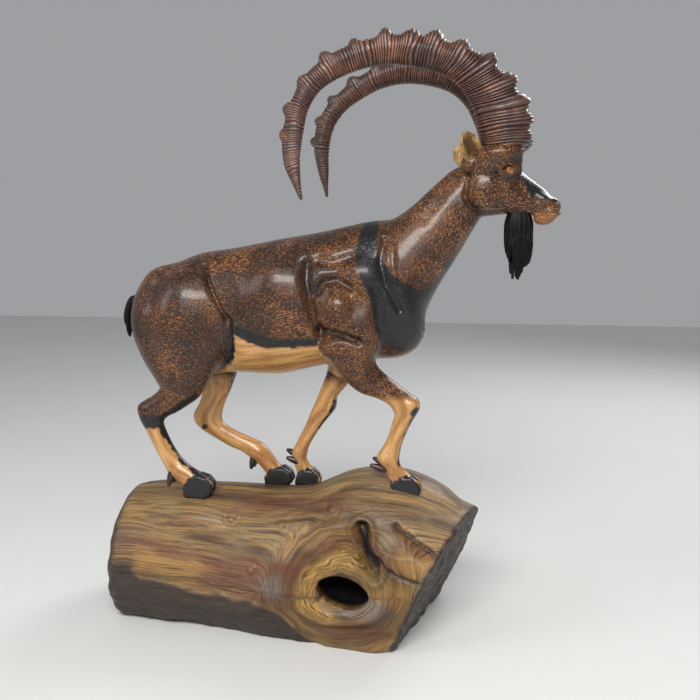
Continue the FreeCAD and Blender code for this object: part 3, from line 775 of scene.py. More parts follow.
def horn_frame(stations, side, rings):
    """Evenly spaced places along a horn: share of the length, length, centre, axes and half sizes."""
    rows = spline(stations, 60)
    front_x, front_z, back_x, back_z, offset, breadth = rows.T
    middle = np.column_stack([(front_x + back_x) / 2, side * offset, (front_z + back_z) / 2])
    rise = np.column_stack([front_x - back_x, np.zeros(len(rows)), front_z - back_z]) / 2
    steps = np.linalg.norm(np.diff(middle, axis=0), axis=1)
    lengths = np.concatenate([[0], np.cumsum(steps)])
    place = np.linspace(0, lengths[-1], rings)
    share = place / lengths[-1]
    centre = np.column_stack([np.interp(place, lengths, column) for column in middle.T])
    up = np.column_stack([np.interp(place, lengths, column) for column in rise.T])
    peg = PEG_SHARE + (1 - PEG_SHARE) * smoothstep(0.0, PEG_LENGTH, share)
    height = np.linalg.norm(up, axis=1) * peg
    width = np.interp(place, lengths, breadth / 2) * peg
    up = normalised(up)
    across = normalised(np.cross(normalised(np.gradient(centre, axis=0)), up))
    return share, place, centre, up, across, height, width


def horn_grooves(share, angle, seed):
    """How deep in a growth groove each point is, from 0 to 1, and how deep that groove is cut."""
    warp = share + 0.004 * np.sin(share * 47 + seed) + 0.003 * np.sin(share * 113 + 2 * seed)
    count = HORN_RINGS * (1 + 0.3 * warp)
    along = share[:, None]
    wander = (np.sin(angle + seed + 9 * along) + 0.9 * np.sin(2 * angle + 1.7 * seed + 23 * along)
              + 0.7 * np.sin(3 * angle + 41 * along))
    groove = (0.5 + 0.5 * np.cos(2 * math.pi * (warp * count)[:, None] + wander)) ** 2.2
    depths = np.random.default_rng(seed).uniform(0.35, 1.25, 175)
    return groove, np.interp(warp * 160, np.arange(175), depths)


def horn_knobs(share, angle, seed):
    """The height of the knobs along the front keel, smaller and closer together towards the tip."""
    front = smoothstep(0.35, 0.85, np.cos(angle))
    swell = np.zeros((len(share), len(angle)))
    for number, where in enumerate(KNOB_PLACES):
        reach = (0.0165 - 0.006 * where) * (1 + 0.2 * math.sin(number * 5.1 + seed))
        wobble = 0.006 * np.sin(2 * angle + number)
        lump = np.exp(-np.abs((share[:, None] - where + wobble) / reach) ** 2.6)
        tall = (9.6 - 6.0 * where) * (1 + 0.22 * math.sin(number * 3.3 + 2 * seed))
        swell += lump * tall * front
    return swell


def build_horn(name, stations, side, seed):
    """A horn as rings of points: a front keel with knobs, and fine uneven growth rings."""
    rings, around = ((900, 64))
    angle = np.linspace(0, 2 * math.pi, around, endpoint=False)
    share, place, centre, up, across, height, width = horn_frame(stations, side, rings)
    groove, depth = horn_grooves(share, angle, seed)
    swell = horn_knobs(share, angle, seed)
    size = np.sqrt(height * width)
    fading = smoothstep(1.0, 0.86, share) * 0.8 + 0.2
    ripple = -groove * (depth * fading * np.clip(size / 16, 0.3, 1.1))[:, None] * RING_DEPTH
    pinch = -0.55 * np.cos(3 * angle) * np.clip(size / 18, 0, 1)[:, None]
    radius_up = np.maximum(height[:, None] + ripple + swell + pinch, THINNEST)
    radius_side = np.maximum(width[:, None] + ripple + 0.35 * swell + pinch, THINNEST)
    points = (centre[:, None, :] + up[:, None, :] * (np.cos(angle) * radius_up)[..., None]
              + across[:, None, :] * (np.sin(angle) * radius_side)[..., None])
    flow = np.stack([np.broadcast_to(place[:, None], groove.shape), size[:, None] * np.cos(angle),
                     size[:, None] * np.sin(angle)], axis=-1)
    obj = make_object(name, points.reshape(-1, 3), tube_faces(rings, around))
    attach(obj, "flow", flow.reshape(-1, 3) / 10)
    mark(obj, groove=groove.ravel(), knob=swell.ravel() / 5)
    face_outward(obj)
    return obj


def tube_faces(rings, around):
    """Four-sided faces between rings of points, and a fan at each end."""
    faces = []
    for ring in range(rings - 1):
        for step in range(around):
            after = (step + 1) % around
            faces.append((ring * around + step, ring * around + after,
                          (ring + 1) * around + after, (ring + 1) * around + step))
    faces.append(tuple(reversed(range(around))))
    faces.append(tuple((rings - 1) * around + step for step in range(around)))
    return faces


def face_outward(obj):
    with edited(obj) as mesh:
        bmesh.ops.recalc_face_normals(mesh, faces=mesh.faces)


# ---------------------------------------------------------------- ears, eyes, beard, tail and dewclaws

class Strand:
    """A tapering lock of hair along a line of points with a radius at each."""

    def __init__(self, line, radii):
        line = spline(np.column_stack([np.asarray(line, float), radii]), 4)
        self.line, self.radii = line[:, :3], np.maximum(line[:, 3], 0.3)
        self.low = self.line.min(axis=0) - self.radii.max()
        self.high = self.line.max(axis=0) + self.radii.max()

    def distance(self, points):
        return line_distance(points, self.line, self.radii)


BEARD_CORE = [(220, 474, 200, 478, 0, 13), (221, 458, 201, 458, 0, 12), (219, 440, 203, 440, 0, 11),
              (216, 426, 207, 426, 0, 7)]
BEARD_X = 210  # where the beard's middle hangs
BEARD_LOCKS = 30
BEARD_END = ([196, 201, 205, 210, 216, 223], [438, 426, 408, 407, 418, 424])  # lowest Z at each X
TAIL_CORE = [(-226, 380, -230, 370, 0, 9), (-236, 378, -237, 364, 0, 11), (-243, 366, -236, 358, 0, 11),
             (-245, 350, -239, 350, 0, 9), (-245, 338, -241, 338, 0, 6)]
TAIL_LOCKS = 16


def build_beard():
    """A hanging beard of carved locks, longest in the middle and blunt at the ends."""
    rng = np.random.default_rng(11)
    carving = Carving()
    carving.add(Sweep(BEARD_CORE), 0)
    for number in range(BEARD_LOCKS):
        turn = number / BEARD_LOCKS * 2 * math.pi
        reach_x, reach_y = 12.5 + rng.uniform(-1, 1), 7.5 + rng.uniform(-0.8, 1.0)
        x, y = BEARD_X + reach_x * math.cos(turn), reach_y * math.sin(turn)
        bottom = np.interp(x, *BEARD_END) + rng.uniform(-3, 5)
        lean = rng.uniform(-2.5, 2.5)
        wave = rng.uniform(-1.6, 1.6)
        line = [(x * 0.7 + BEARD_X * 0.3, y * 0.75, 480), (x, y, 466), (x + wave, y + 0.4 * wave, 454),
                (x - 0.6 * wave + lean * 0.3, y - 0.5 * wave, 442),
                (x + 0.6 * wave + lean * 0.6, y * 0.9, 430),
                (209 + (x - 209) * 0.85 + lean, y * 0.75, max(bottom + 9, 418)),
                (208 + (x - 208) * 0.75 + lean, y * 0.6, bottom)]
        if line[-2][2] > 428:
            line.pop(4)
        radii = np.interp(np.linspace(0, 1, len(line)), [0, 0.2, 0.7, 1], [1.8, 2.5, 2.4, 1.5])
        carving.add(Strand(line, radii), 0.3)
    return carve("carved_beard", carving.field, (188, -14, 400), (238, 14, 486), 0.65)


def build_tail():
    """A short tail of carved locks, hanging close to the rump."""
    rng = np.random.default_rng(5)
    carving = Carving()
    carving.add(Sweep(TAIL_CORE), 0)
    for number in range(TAIL_LOCKS):
        turn = number / TAIL_LOCKS * 2 * math.pi
        out, wide = math.cos(turn), math.sin(turn)
        bottom = 334 + rng.uniform(-4, 7)
        line = [(-228, wide * 3, 377 + out * 3), (-238 - out * 2, wide * 4.6, 374 + out * 3),
                (-243 - out * 3.6, wide * 5.2, 362),
                (-243.5 - out * 3.4 + rng.uniform(-0.6, 0.6), wide * 4.8, 350),
                (-243.5 - out * 2.4, wide * 3.6, bottom + 7), (-243.5 - out * 1.2, wide * 2.2, bottom)]
        carving.add(Strand(line, [1.6, 2.0, 2.1, 2.0, 1.5, 0.5]), 0.5)
    return carve("carved_tail", carving.field, (-254, -10, 326), (-220, 10, 390), 0.6)


# Root, length, breadth, lean forwards, spread outwards, side, and how far the hollow turns forwards.
EARS = {
    "right_ear": ((162, -24, 532), 32, 25, -24, 24, RIGHT, 40),
    "left_ear": ((158, 23, 530), 31, 25, -46, 28, LEFT, 10),
}
EAR_THICKNESS = 3.4


class Leaf:
    """A cupped ear: a leaf-shaped plate, thick at the rim and hollow in front."""

    def __init__(self, root, length, breadth, lean, spread, side, open_turn):
        self.root = np.asarray(root, float)
        self.length, self.breadth = length, breadth
        lean, spread, open_turn = (math.radians(v) for v in (lean, spread, open_turn))
        along = np.array([math.sin(lean) * math.cos(spread), side * math.sin(spread),
                          math.cos(lean) * math.cos(spread)])
        hint = np.array([math.sin(open_turn), side * math.cos(open_turn), 0.0])
        face = hint - (hint @ along) * along
        face /= np.linalg.norm(face)
        self.axes = np.column_stack([along, np.cross(along, face), face])
        tip = self.root + along * length
        self.low = np.minimum(self.root, tip) - breadth
        self.high = np.maximum(self.root, tip) + breadth

    def distance(self, points):
        local = (points - self.root) @ self.axes
        share = np.clip(local[:, 0] / self.length, -0.1, 1.1)
        oval = np.sqrt(np.clip(4 * (share + 0.04) * (1.04 - share), 0.02, 1))
        half = self.breadth / 2 * oval * (1.15 - 0.4 * share)
        edge = np.abs(local[:, 1]) / half
        bend = 4.0 * edge ** 2 - 2.0 - 3.0 * (share - 0.4) ** 2
        thickness = EAR_THICKNESS * (1 + 0.5 * smoothstep(0.6, 1.0, edge))
        ends = np.maximum(-local[:, 0] - 2, local[:, 0] - self.length)
        rim = np.maximum((edge - 1.0) * half, ends)
        return smooth_max(np.abs(local[:, 2] - bend) - thickness / 2, rim, 2.4)


def build_ear(name):
    """An ear with a rounded root. Its attribute cup marks the hollow inside, where shade is painted."""
    leaf = Leaf(*EARS[name])
    carving = Carving()
    carving.add(leaf, 0)
    carving.add(Ball(leaf.root, (8, 6, 7), lean=-20), 4)
    obj = carve("carved_" + name, carving.field, leaf.low - 4, leaf.high + 4, 0.55)
    local = (points_of(obj) - leaf.root) @ leaf.axes
    normals = np.array([vertex.normal for vertex in obj.data.vertices]) @ leaf.axes
    inner = smoothstep(0.75, 0.35, np.abs(local[:, 1]) / (leaf.breadth / 2))
    below_tip = smoothstep(leaf.length, leaf.length * 0.75, local[:, 0])
    # The cup share marks where shade is painted inside the hollow.
    mark(obj, cup=inner * smoothstep(0.1, 0.6, normals[:, 2]) * below_tip)
    return obj


EYE_RADIUS = 5.3
EYE_RINGS = 41
EYE_AROUND = 40
EYE_CENTRE = (197.5, 22.6, 521.6)
EYE_AXIS = (0.16, 0.98, 0.1)


def build_eye(name, side):
    """A bead with a raised cornea over the iris, its own Z axis pointing out of the head."""
    angle = np.linspace(0, 2 * math.pi, EYE_AROUND, endpoint=False)
    rings = []
    for step in range(2, EYE_RINGS):
        turn = math.pi * step / EYE_RINGS
        cornea = 0.35 * math.exp(-((math.pi - turn) / 0.5) ** 2)
        radius, height = EYE_RADIUS * math.sin(turn), -(EYE_RADIUS + cornea) * math.cos(turn)
        rings.append(np.column_stack([radius * np.cos(angle), radius * np.sin(angle),
                                      np.full(EYE_AROUND, height)]))
    local = np.vstack(rings)
    out = Vector((EYE_AXIS[0], side * EYE_AXIS[1], EYE_AXIS[2])).normalized()
    turn = np.array(out.to_track_quat("Z", "Y").to_matrix())
    points = local @ turn.T + (EYE_CENTRE[0], side * EYE_CENTRE[1], EYE_CENTRE[2])
    obj = make_object(name, points, tube_faces(len(rings), EYE_AROUND))
    attach(obj, "bead", local)
    face_outward(obj)
    return obj


# Root of each claw as (x, z) for the inner and the outer one, length, and its direction from upright.
DEWCLAWS = {
    "right_hind_leg": ((-182, 174), (-183, 173), 11, -168),
    "left_hind_leg": ((-101, 179), (-101, 178), 10, -168),
    "right_front_leg": ((65, 196), (64, 192), 11, -70),
    "left_front_leg": ((-48, 181), (-51, 187), 9, -70),
}
CLAW_SPREAD = 5.4
CLAW_RADII = [3.6, 4.2, 3.6, 2.2]
CLAW_ROOM = 22


def build_dewclaws(name, leg_name):
    """Two blunt, slightly bent pegs behind the fetlock."""
    side = LEGS[leg_name][0]
    inner, outer, length, droop = DEWCLAWS[leg_name]
    droop = math.radians(droop)
    step = np.array([math.sin(droop), 0.0, math.cos(droop)])
    pieces = []
    for sign, (x, z) in ((-side, inner), (side, outer)):
        root = np.array([x, leg_middle(leg_name) + sign * CLAW_SPREAD, z], float)
        outward = np.array([0, sign * 0.9, 0])
        line = [root - step * 4, root, root + step * length * 0.5 + outward,
                root + step * length + 2 * outward]
        claw = Strand(line, CLAW_RADII)
        pieces.append(surface(claw.distance, root - CLAW_ROOM, root + CLAW_ROOM, 0.55 * COARSE))
    points = np.vstack([piece[0] for piece in pieces])
    faces = np.vstack([pieces[0][1], pieces[1][1] + len(pieces[0][0])])
    return make_object(name, points, faces)


# ---------------------------------------------------------------- log

# Stations: (x, top, bottom, offset, width).
LOG = [
    (-300, 140, -20, 10, 166), (-262, 143, -20, 10, 168), (-226, 149, -16, 9, 170),
    (-187, 152, -22, 8, 174), (-122, 152, -24, 5, 180), (-42, 154, -34, 1, 188), (38, 163, -30, -2, 196),
    (108, 160, -30, -3, 194), (193, 130, -40, -2, 186), (240, 118, -40, -2, 180),
]
# The middle of the burl's hollow in the side view, how far its oval leans, and how long it is for its height.
HOLLOW = np.array([30.0, 69.0])
HOLLOW_LEAN = math.radians(-14)
HOLLOW_STRETCH = 1.25
# The sawn end: a point on its plane, and the direction it faces.
END_POINT = np.array([166.0, 0.0, 135.0])
END_YAW, END_LEAN = math.radians(-14.3), math.radians(23)
END_NORMAL = np.array([math.cos(END_LEAN) * math.cos(END_YAW), math.cos(END_LEAN) * math.sin(END_YAW),
                       -math.sin(END_LEAN)])
TAIL_END_X = -253.0
LOG_RADIUS = 85
# The edge of the bark along the front, as (x, z); below it the colour also paints the shade on the log's
# lower front.
BARK_AND_SHADE_EDGE = [
    (-300, 84), (-225, 76), (-200, 63), (-150, 56), (-100, 52), (-60, 45), (-40, 37), (-20, 15),
    (-4, -4), (40, -20), (300, -20),
]
CRACKS = [
    [(84, 138), (93, 131), (101, 127), (110, 121), (121, 116), (128, 110)],
    [(70, 108), (76, 98), (88, 91), (102, 87), (112, 84)],
]
# Waves along the grain as (depth, size, seed).
LONG_WAVES = [(1.7, (150, 26, 26), 1), (0.9, (60, 11, 11), 2), (0.55, (38, 5.5, 5.5), 3)]
SMALL_KNOTS = [(-105, 133), (-45, 130), (-25, 152), (-75, 84), (12, 150)]
BURL_LIP = [(8, -2), (34, -6), (66, 2), (92, 18)]
STEP_LINE = [(96, 126), (112, 116), (128, 104)]
SLIT_LINE = [(47, 134), (52, 120), (62, 100), (66, 92)]


def hollow_place(points):
    """Distance from the middle of the burl's hollow in the side view, and how far round it."""
    flat = side_view(points) - HOLLOW
    along = flat[:, 0] * math.cos(HOLLOW_LEAN) - flat[:, 1] * math.sin(HOLLOW_LEAN)
    across = flat[:, 0] * math.sin(HOLLOW_LEAN) + flat[:, 1] * math.cos(HOLLOW_LEAN)
    return np.hypot(along / HOLLOW_STRETCH, across), np.arctan2(across, along)


def bark_depth(points):
    """How far below the edge of the bark, and of the shade painted with it, a point lies on the log's front.
    """
    edge = np.interp(points[:, 0], [p[0] for p in BARK_AND_SHADE_EDGE], [p[1] for p in BARK_AND_SHADE_EDGE])
    return edge - points[:, 2] + 4 * noise(points, 16, 21)


def beyond_end(points):
    """How far a point lies past the plane of the sawn end."""
    return (points - END_POINT) @ END_NORMAL


class Log:
    """A length of weathered trunk with a burl, a hollow, knots, cracks, loose bark and a rough end."""

    def __init__(self):
        self.trunk = Sweep([(x, top, x, bottom, offset, width) for x, top, bottom, offset, width in LOG])
        self.burl = Ball((22, -50, 66), (64, 46, 60))
        self.knob = Ball((64, 0, 140), (74, 54, 42))
        self.heel = Ball((60, -52, 10), (70, 40, 26), lean=-8)
        self.shelf = Ball((-154, -30, 128), (60, 34, 20))
        self.hollow = Ball((30, -96, 69), (29, 52, 16.5), lean=14)

    def wavy_trunk(self, points):
        """The trunk with its bulges, and long waves along the grain."""
        total = self.trunk.distance(points)
        for bulge, blend in ((self.burl, 22), (self.knob, 26), (self.heel, 18), (self.shelf, 12)):
            total = smooth_min(total, bulge.distance(points), blend)
        for depth, size, seed in LONG_WAVES:
            total = total - depth * noise(points, size, seed)
        return total

    def front_relief(self, points):
        """How much the front stands out: folds round the hollow, bark, cracks, knots and the slit's rim."""
        flat = side_view(points)
        radius, turn = hollow_place(points)
        swirl = radius + 3 * np.sin(3 * turn + 0.6) + 3 * noise(points, 22, 4)
        relief = 4.8 * fade(swirl - 33, 8.0) - 3.4 * fade(swirl - 47, 5.5) - 6.0 * fade(swirl, 24.0)
        relief += 0.8 * np.sin(swirl / 1.9) * smoothstep(78, 50, swirl) * smoothstep(20, 28, swirl)
        relief += 3.6 * line_fade(flat, BURL_LIP, 5.0)
        plates = 2.6 + 2.2 * noise(points, (26, 9, 9), 5) + 1.1 * noise(points, (11, 5, 5), 6)
        relief += plates * smoothstep(-2, 4, bark_depth(points))
        for line in CRACKS:
            relief -= 3.4 * line_fade(flat, line, 2.4)
        relief -= 2.5 * line_fade(flat, STEP_LINE, 7.0)
        for x, z in SMALL_KNOTS:
            apart = np.hypot(flat[:, 0] - x, flat[:, 1] - z)
            relief += 2.6 * fade(apart, 4.5) - 1.6 * fade(apart - 8, 2.6)
        slit = line_distance(flat, SLIT_LINE)
        lobe = 7.6 + 2.0 * np.sin(flat[:, 1] / 5.0)
        return relief + 4.2 * fade(slit - lobe - 3.5, 2.6) - 13.0 * smoothstep(lobe, lobe - 6, slit)

    def distance(self, points):
        front = smoothstep(-20, -60, points[:, 1])
        total = self.wavy_trunk(points) - front * self.front_relief(points)
        total = smooth_max(total, -self.hollow.distance(points), 3.0)
        rough = 2.4 * noise(points, (30, 14, 14), 7) + 1.6 * noise(points, (9, 7, 7), 8)
        chop = 2.2 * np.abs(noise(points, (40, 12, 30), 9))
        total = smooth_max(total, beyond_end(points) + rough * 0.8 + chop, 3.0)
        tail_end = TAIL_END_X - points[:, 0] + 1.2 * noise(points, 14, 10) + 0.02 * (points[:, 2] - 60)
        total = smooth_max(total, tail_end, 16.0)
        return smooth_max(total, -points[:, 2], 2.5)

    def depth(self, points):
        """How far a point lies below the log's plain outline, as inside a hollow."""
        shapes = (self.trunk, self.burl, self.knob, self.heel)
        whole = np.min([shape.distance(points) for shape in shapes], axis=0)
        inside_ends = np.minimum(-beyond_end(points), points[:, 0] - TAIL_END_X)
        return np.where(points[:, 2] > 4, np.minimum(-whole - 4, inside_ends - 6), 0)


# Coloured regions of the log's front as (strength, outline, softness of the edge).
RED_REGIONS = [
    (0.8, [(-120, 88), (-20, 92), (-26, 40), (-60, 50), (-150, 60)], 10),
    (0.9, [(86, 132), (108, 126), (130, 114), (126, 106), (100, 114)], 5),
    (0.9, [(-6, 22), (10, 36), (66, 40), (80, 20), (30, 8)], 8),
]
RED_STREAK = [(-250, 106), (-150, 92), (-95, 88), (-60, 84), (-20, 88)]
YELLOW_REGIONS = [
    (0.9, [(-222, 96), (-120, 94), (-112, 74), (-160, 66), (-215, 74)], 9),
    (0.7, [(-30, 112), (0, 130), (40, 132), (44, 116), (10, 108)], 9),
    (0.8, [(90, 118), (130, 112), (112, 84), (84, 100)], 8),
    (0.8, [(64, 84), (106, 78), (92, 52), (66, 64)], 8),
]
YELLOW_STREAK = [(0, 10), (24, -2), (52, 2), (84, 14), (96, 24)]
# Grey patches of weathered wood; the second, low on the burl, is a painted glint of light.
GREY_REGIONS = [
    (0.9, [(-64, 80), (-40, 78), (-36, 52), (-62, 56)], 8),
    (0.9, [(50, 62), (78, 66), (88, 48), (62, 34), (52, 44)], 6),
    (0.5, [(-2, 176), (60, 196), (100, 186), (60, 168)], 8),
]


def region_sum(flat, regions):
    return sum(strength * outline_mask(flat, outline, soft) for strength, outline, soft in regions)


def build_log():
    """The log, with where its colours change and the way its grain runs stored on its points."""
    log = Log()
    obj = carve("carved_log_base", log.distance, (-262, -112, -6), (190, 108, 192), 2.1)
    points = points_of(obj)
    x, y, z = points.T
    soft = points.copy()
    soft[:, 0] += 4 * noise(points, 14, 31)
    soft[:, 2] += 4 * noise(points, 14, 32)
    flat = side_view(soft)
    front = smoothstep(-10, -50, y)
    radius, turn = hollow_place(soft)
    inward = log.trunk.place(points)
    round_log = np.arctan2(inward[:, 1], inward[:, 2]) * LOG_RADIUS
    near = np.exp(-(radius / 58) ** 4) * front
    across = round_log * (1 - near) + radius * 1.3 * near
    along = x * (1 - near) + turn * 30 * near
    attach(obj, "flow", np.column_stack([along, across + 5 * noise(points, (80, 30, 30), 33), y * 0.3]))
    ring = smoothstep(24, 28, radius) * smoothstep(47, 39, radius) * front
    ring = ring * smoothstep(1.5, 0.8, np.abs(turn - math.pi * 0.62)) + ring * smoothstep(-1.6, -2.4, turn)
    red = 0.9 * line_fade(flat, RED_STREAK, 8) + region_sum(flat, RED_REGIONS)
    red += 0.9 * fade(radius - 52, 5) * smoothstep(2.9, 2.2, turn) * smoothstep(-0.2, 0.4, turn)
    top_red = fade(z - 148 - 0.09 * (x + 20), 6) * smoothstep(-140, -100, x) * smoothstep(50, 10, x)
    yellow = 0.9 * line_fade(flat, YELLOW_STREAK, 4) + region_sum(flat, YELLOW_REGIONS)
    end = smoothstep(-5.5, -2.0, beyond_end(points) + 1.5 * noise(points, 8, 35))
    mark(obj, ring=ring, red=red * front + 0.75 * top_red * smoothstep(0, -30, y), yellow=yellow * front,
         # Grey weathered wood, and a painted glint low on the burl.
         grey=region_sum(flat, GREY_REGIONS) * front,
         # Bark, and painted shade on the log's lower front.
         bark=smoothstep(-2, 5, bark_depth(points)) * smoothstep(20, -30, y) * smoothstep(8, -22, x),
         end=np.maximum(end, 0.8 * smoothstep(TAIL_END_X + 16, TAIL_END_X + 6, x)),
         # Painted shade inside the hollows.
         deep=smoothstep(0.0, 9.0, log.depth(points)),
         # Painted shade in the cracks.
         crack=sum(line_fade(side_view(points), line, 2.0) for line in CRACKS) * front)
    return obj


# ---------------------------------------------------------------- painted markings of the animal

SHOULDER_STRIPE = [
    (43, 480), (57, 480), (58, 450), (61, 431), (70, 418), (80, 408), (92, 398), (110, 391), (127, 408),
    (134, 424), (152, 432), (130, 352), (112, 326), (86, 323), (66, 328), (60, 340), (57, 360), (54, 380),
    (46, 400), (39, 415), (36, 430), (38, 450),
]
FLANK_STRIPE = [
    (-97, 353), (-80, 345), (-60, 339), (-50, 338), (-20, 339), (-8, 339), (-8, 330), (-20, 329.5),
    (-50, 327.5), (-62, 327), (-78, 330), (-88, 335), (-104, 343),
]
THIGH_BAND = [
    (-103, 358), (-106, 340), (-107, 325), (-112, 311), (-119, 300), (-127, 288), (-142, 274),
    (-158, 266), (-176, 256), (-192, 248),
]
THIGH_BAND_HALF_WIDTHS = [2.5, 4, 5, 5, 5, 5, 5, 5, 5, 5]
BELLY = [
    (-103, 344), (-88, 335), (-78, 330), (-62, 327), (-50, 327.5), (-20, 329.5), (-6, 330), (0, 322),
    (8, 306), (16, 290), (-130, 270), (-118, 302), (-110, 318),
]
MUZZLE_PATCH = [
    (212, 517), (222, 513), (236, 505), (247, 495), (252, 488), (243, 489), (232, 490), (222, 493),
    (217, 501),
]
# A white strip on top of the nose ridge, as (x, z).
NOSE_STRIP = [(210, 528), (212, 519), (222, 513), (236, 503), (247, 493), (256, 494), (256, 520), (220, 540)]
LIPS = [(226, 476), (236, 478), (247, 476), (252, 471), (248, 460), (232, 458), (223, 467)]
BROW_SPOT = [(199, 552), (207, 548), (210, 537), (205, 533), (201, 541)]
EYE_PATCH = (197, 521.5), (12.5, 8.5)
# Dark lines of the coat as (strength, line, width); the last four lie along carved grooves.
DARK_LINES = [
    (0.8, [(-32, 440), (-31, 418)], 3.0), (0.6, [(-22, 442), (-23, 424)], 2.4),
    (0.8, [(-6, 352), (0, 348), (20, 341), (50, 336)], 3.0),
    (0.7, [(156, 520), (153, 500), (156, 486), (168, 480)], 3.0),
    (0.7, [(182, 520), (188, 514), (198, 512), (206, 517)], 2.0),
    (0.8, [(253, 477), (245, 474), (235, 474.5), (226, 477)], 1.4),
]
HIP_LINE = [(-150, 420), (-134, 400)]
# Spots of a yellower brown as (strength, middle, radii).
OCHRE_SPOTS = [
    (0.9, (59, 437), (3.5, 6)), (0.7, (190, 536), (9, 4)), (0.7, (170, 532), (9, 7)),
    (0.5, (25, 372), (18, 20)),
]


def ragged(points, size, amount, seed):
    """The points moved a little, so that a painted edge breaks up like hair."""
    return points + amount * np.column_stack([noise(points, size, seed + axis) for axis in range(3)])


def paint_body(obj):
    """Store the markings of the trunk, neck and head, painted shade in its carved creases, and the way the
    carved hair lies.
    """
    points = points_of(obj)
    x, y, z = points.T
    soft = ragged(points, (5, 3, 3), 1.6, 41)
    flat, from_middle = side_view(soft), np.abs(soft[:, 1])
    flat_thigh = flat - np.outer(y > 0, [THIGH_SHIFT[LEFT], 0])
    flat_shoulder = flat - np.outer(y > 0, [SHOULDER_SHIFT[LEFT], 0])
    at_head = smoothstep(160, 160.8, x)[:, None]
    attach(obj, "flow", torso_and_neck.place(points) * (1 - at_head) + (points * [1, 1, 0.8]) * at_head)

    side = smoothstep(16, 24, np.abs(y))
    thigh_band = smoothstep(1.2, -1.2, line_distance(flat_thigh, THIGH_BAND, THIGH_BAND_HALF_WIDTHS))
    spine = smoothstep(5.5, 3.5, from_middle) * smoothstep(440, 452, z + 0.16 * (40 - x))
    black = np.max([outline_mask(flat, SHOULDER_STRIPE, 1.4), outline_mask(flat, FLANK_STRIPE, 1.0) * side,
                    thigh_band * side, outline_mask(flat, MUZZLE_PATCH, 1.0) * smoothstep(2, 5, np.abs(y)),
                    0.75 * spine * smoothstep(40, -40, x) * smoothstep(-236, -226, x)], axis=0)
    under = smoothstep(20, 12, from_middle) * smoothstep(326, 312, z) * smoothstep(-206, -196, x)
    inner = smoothstep(14, 6, from_middle) * smoothstep(345, 330, z)
    lips = outline_mask(flat, LIPS, 1.5) * 0.8
    jaw = smoothstep(480, 474, soft[:, 2]) * smoothstep(190, 205, x) * 0.5
    white = np.clip(outline_mask(flat, NOSE_STRIP, 0.8) + outline_mask(flat, BROW_SPOT, 1), 0, 1)

    eye_ring = oval_reach(flat, *EYE_PATCH)
    dark = sum(strength * line_fade(flat, line, width) for strength, line, width in DARK_LINES)
    dark += 0.5 * line_fade(flat_thigh, HIP_LINE, 7.0)
    dark += 0.7 * smoothstep(-190, -230, x) * smoothstep(390, 350, z)
    dark += 0.85 * fade(eye_ring - 1.05, 0.11) + 0.5 * fade(eye_ring - 0.7, 0.07)
    # Painted shade in the carved hip and shoulder creases.
    dark += 0.5 * side * line_fade(flat_thigh, HIP_CREASE, 3.0)
    dark += 0.75 * side * sum(line_fade(flat_shoulder, line, 4.0) for line in SHOULDER_CREASES)
    ochre = sum(strength * fade(oval_reach(flat, middle, radii), 1.0)
                for strength, middle, radii in OCHRE_SPOTS)
    ochre += 0.75 * smoothstep(1.1, 0.8, eye_ring)
    mark(obj, black=black, pale=np.max([outline_mask(flat, BELLY, 1.6), under, inner], axis=0),
         tan=np.maximum(lips, jaw), white=white * smoothstep(9.5, 7.5, from_middle), dark=dark, ochre=ochre,
         hoof=np.zeros(len(points)))


# Leg markings, in the side view: the height where the stippled coat ends, the black lines as
# (line, half width), the dark patches as (middle, radius) and the brown of the pastern as one more patch.
LEG_PAINT = {
    "right_hind_leg": (
        240,
        [([(-150, 268), (-168, 255), (-184, 245), (-196, 239)], 5),
         ([(-194, 236), (-188, 222), (-178, 206), (-167, 191), (-153, 180), (-143, 175)], 3.8)],
        [((-212, 237), 9), ((-201, 236), 8)], ((-176, 172), 12)),
    "left_hind_leg": (
        252,
        [([(-119, 288), (-127, 268), (-130, 248), (-128, 228), (-112, 219), (-95, 212), (-80, 202),
           (-68, 187)], 2.2)],
        [((-160, 219), 4)], ((-88, 184), 12)),
    "right_front_leg": (
        274, [([(101, 252), (94, 236), (87, 215), (84, 198)], 2.2)], [((103, 258), 6)], ((80, 186), 14)),
    "left_front_leg": (
        268, [([(2, 256), (-4, 240), (-18, 221)], 2.0)], [((3, 246), 5)], ((-37, 188), 13)),
}


def paint_leg(obj, name):
    """Store the markings of a leg, painted shade at the top of its inner face, and the way its grain runs."""
    points = points_of(obj)
    soft = ragged(points, (4, 4, 4), 1.5, 51)
    flat = side_view(soft)
    coat_end, lines, patches, (brown_middle, brown_radius) = LEG_PAINT[name]
    attach(obj, "flow", legs[name].place(points))
    outer = smoothstep(-7, 5, LEGS[name][0] * (soft[:, 1] - leg_middle(name)))
    stripes = [smoothstep(1.0, -1.0, line_distance(flat, line) - width) for line, width in lines]
    blots = [smoothstep(1.5, -1.5, np.linalg.norm(flat - middle, axis=1) - radius)
             for middle, radius in patches]
    inner_top = (1 - outer) * smoothstep(292, 274, soft[:, 2] + 8 * noise(points, 9, 57))
    # The dark share of a leg is painted shade at the top of its inner face.
    mark(obj, black=np.max(stripes + blots, axis=0),
         pale=np.maximum(smoothstep(coat_end + 5, coat_end - 6, soft[:, 2]), inner_top),
         tan=fade(np.linalg.norm(side_view(points) - brown_middle, axis=1), brown_radius),
         hoof=smoothstep(1.6, 0.2, signed_outline(flat, HOOVES[name]) + 1.4 * noise(points, 4, 55)),
         dark=smoothstep(275, 300, points[:, 2]) * (1 - outer) * 0.9,
         white=np.zeros(len(points)), ochre=np.zeros(len(points)))


# ---------------------------------------------------------------- materials

def srgb(red, green, blue):
    """A colour given as screen values from 0 to 255."""
    values = [value / 255 for value in (red, green, blue)]
    return tuple(v / 12.92 if v <= 0.04045 else ((v + 0.055) / 1.055) ** 2.4 for v in values) + (1.0,)


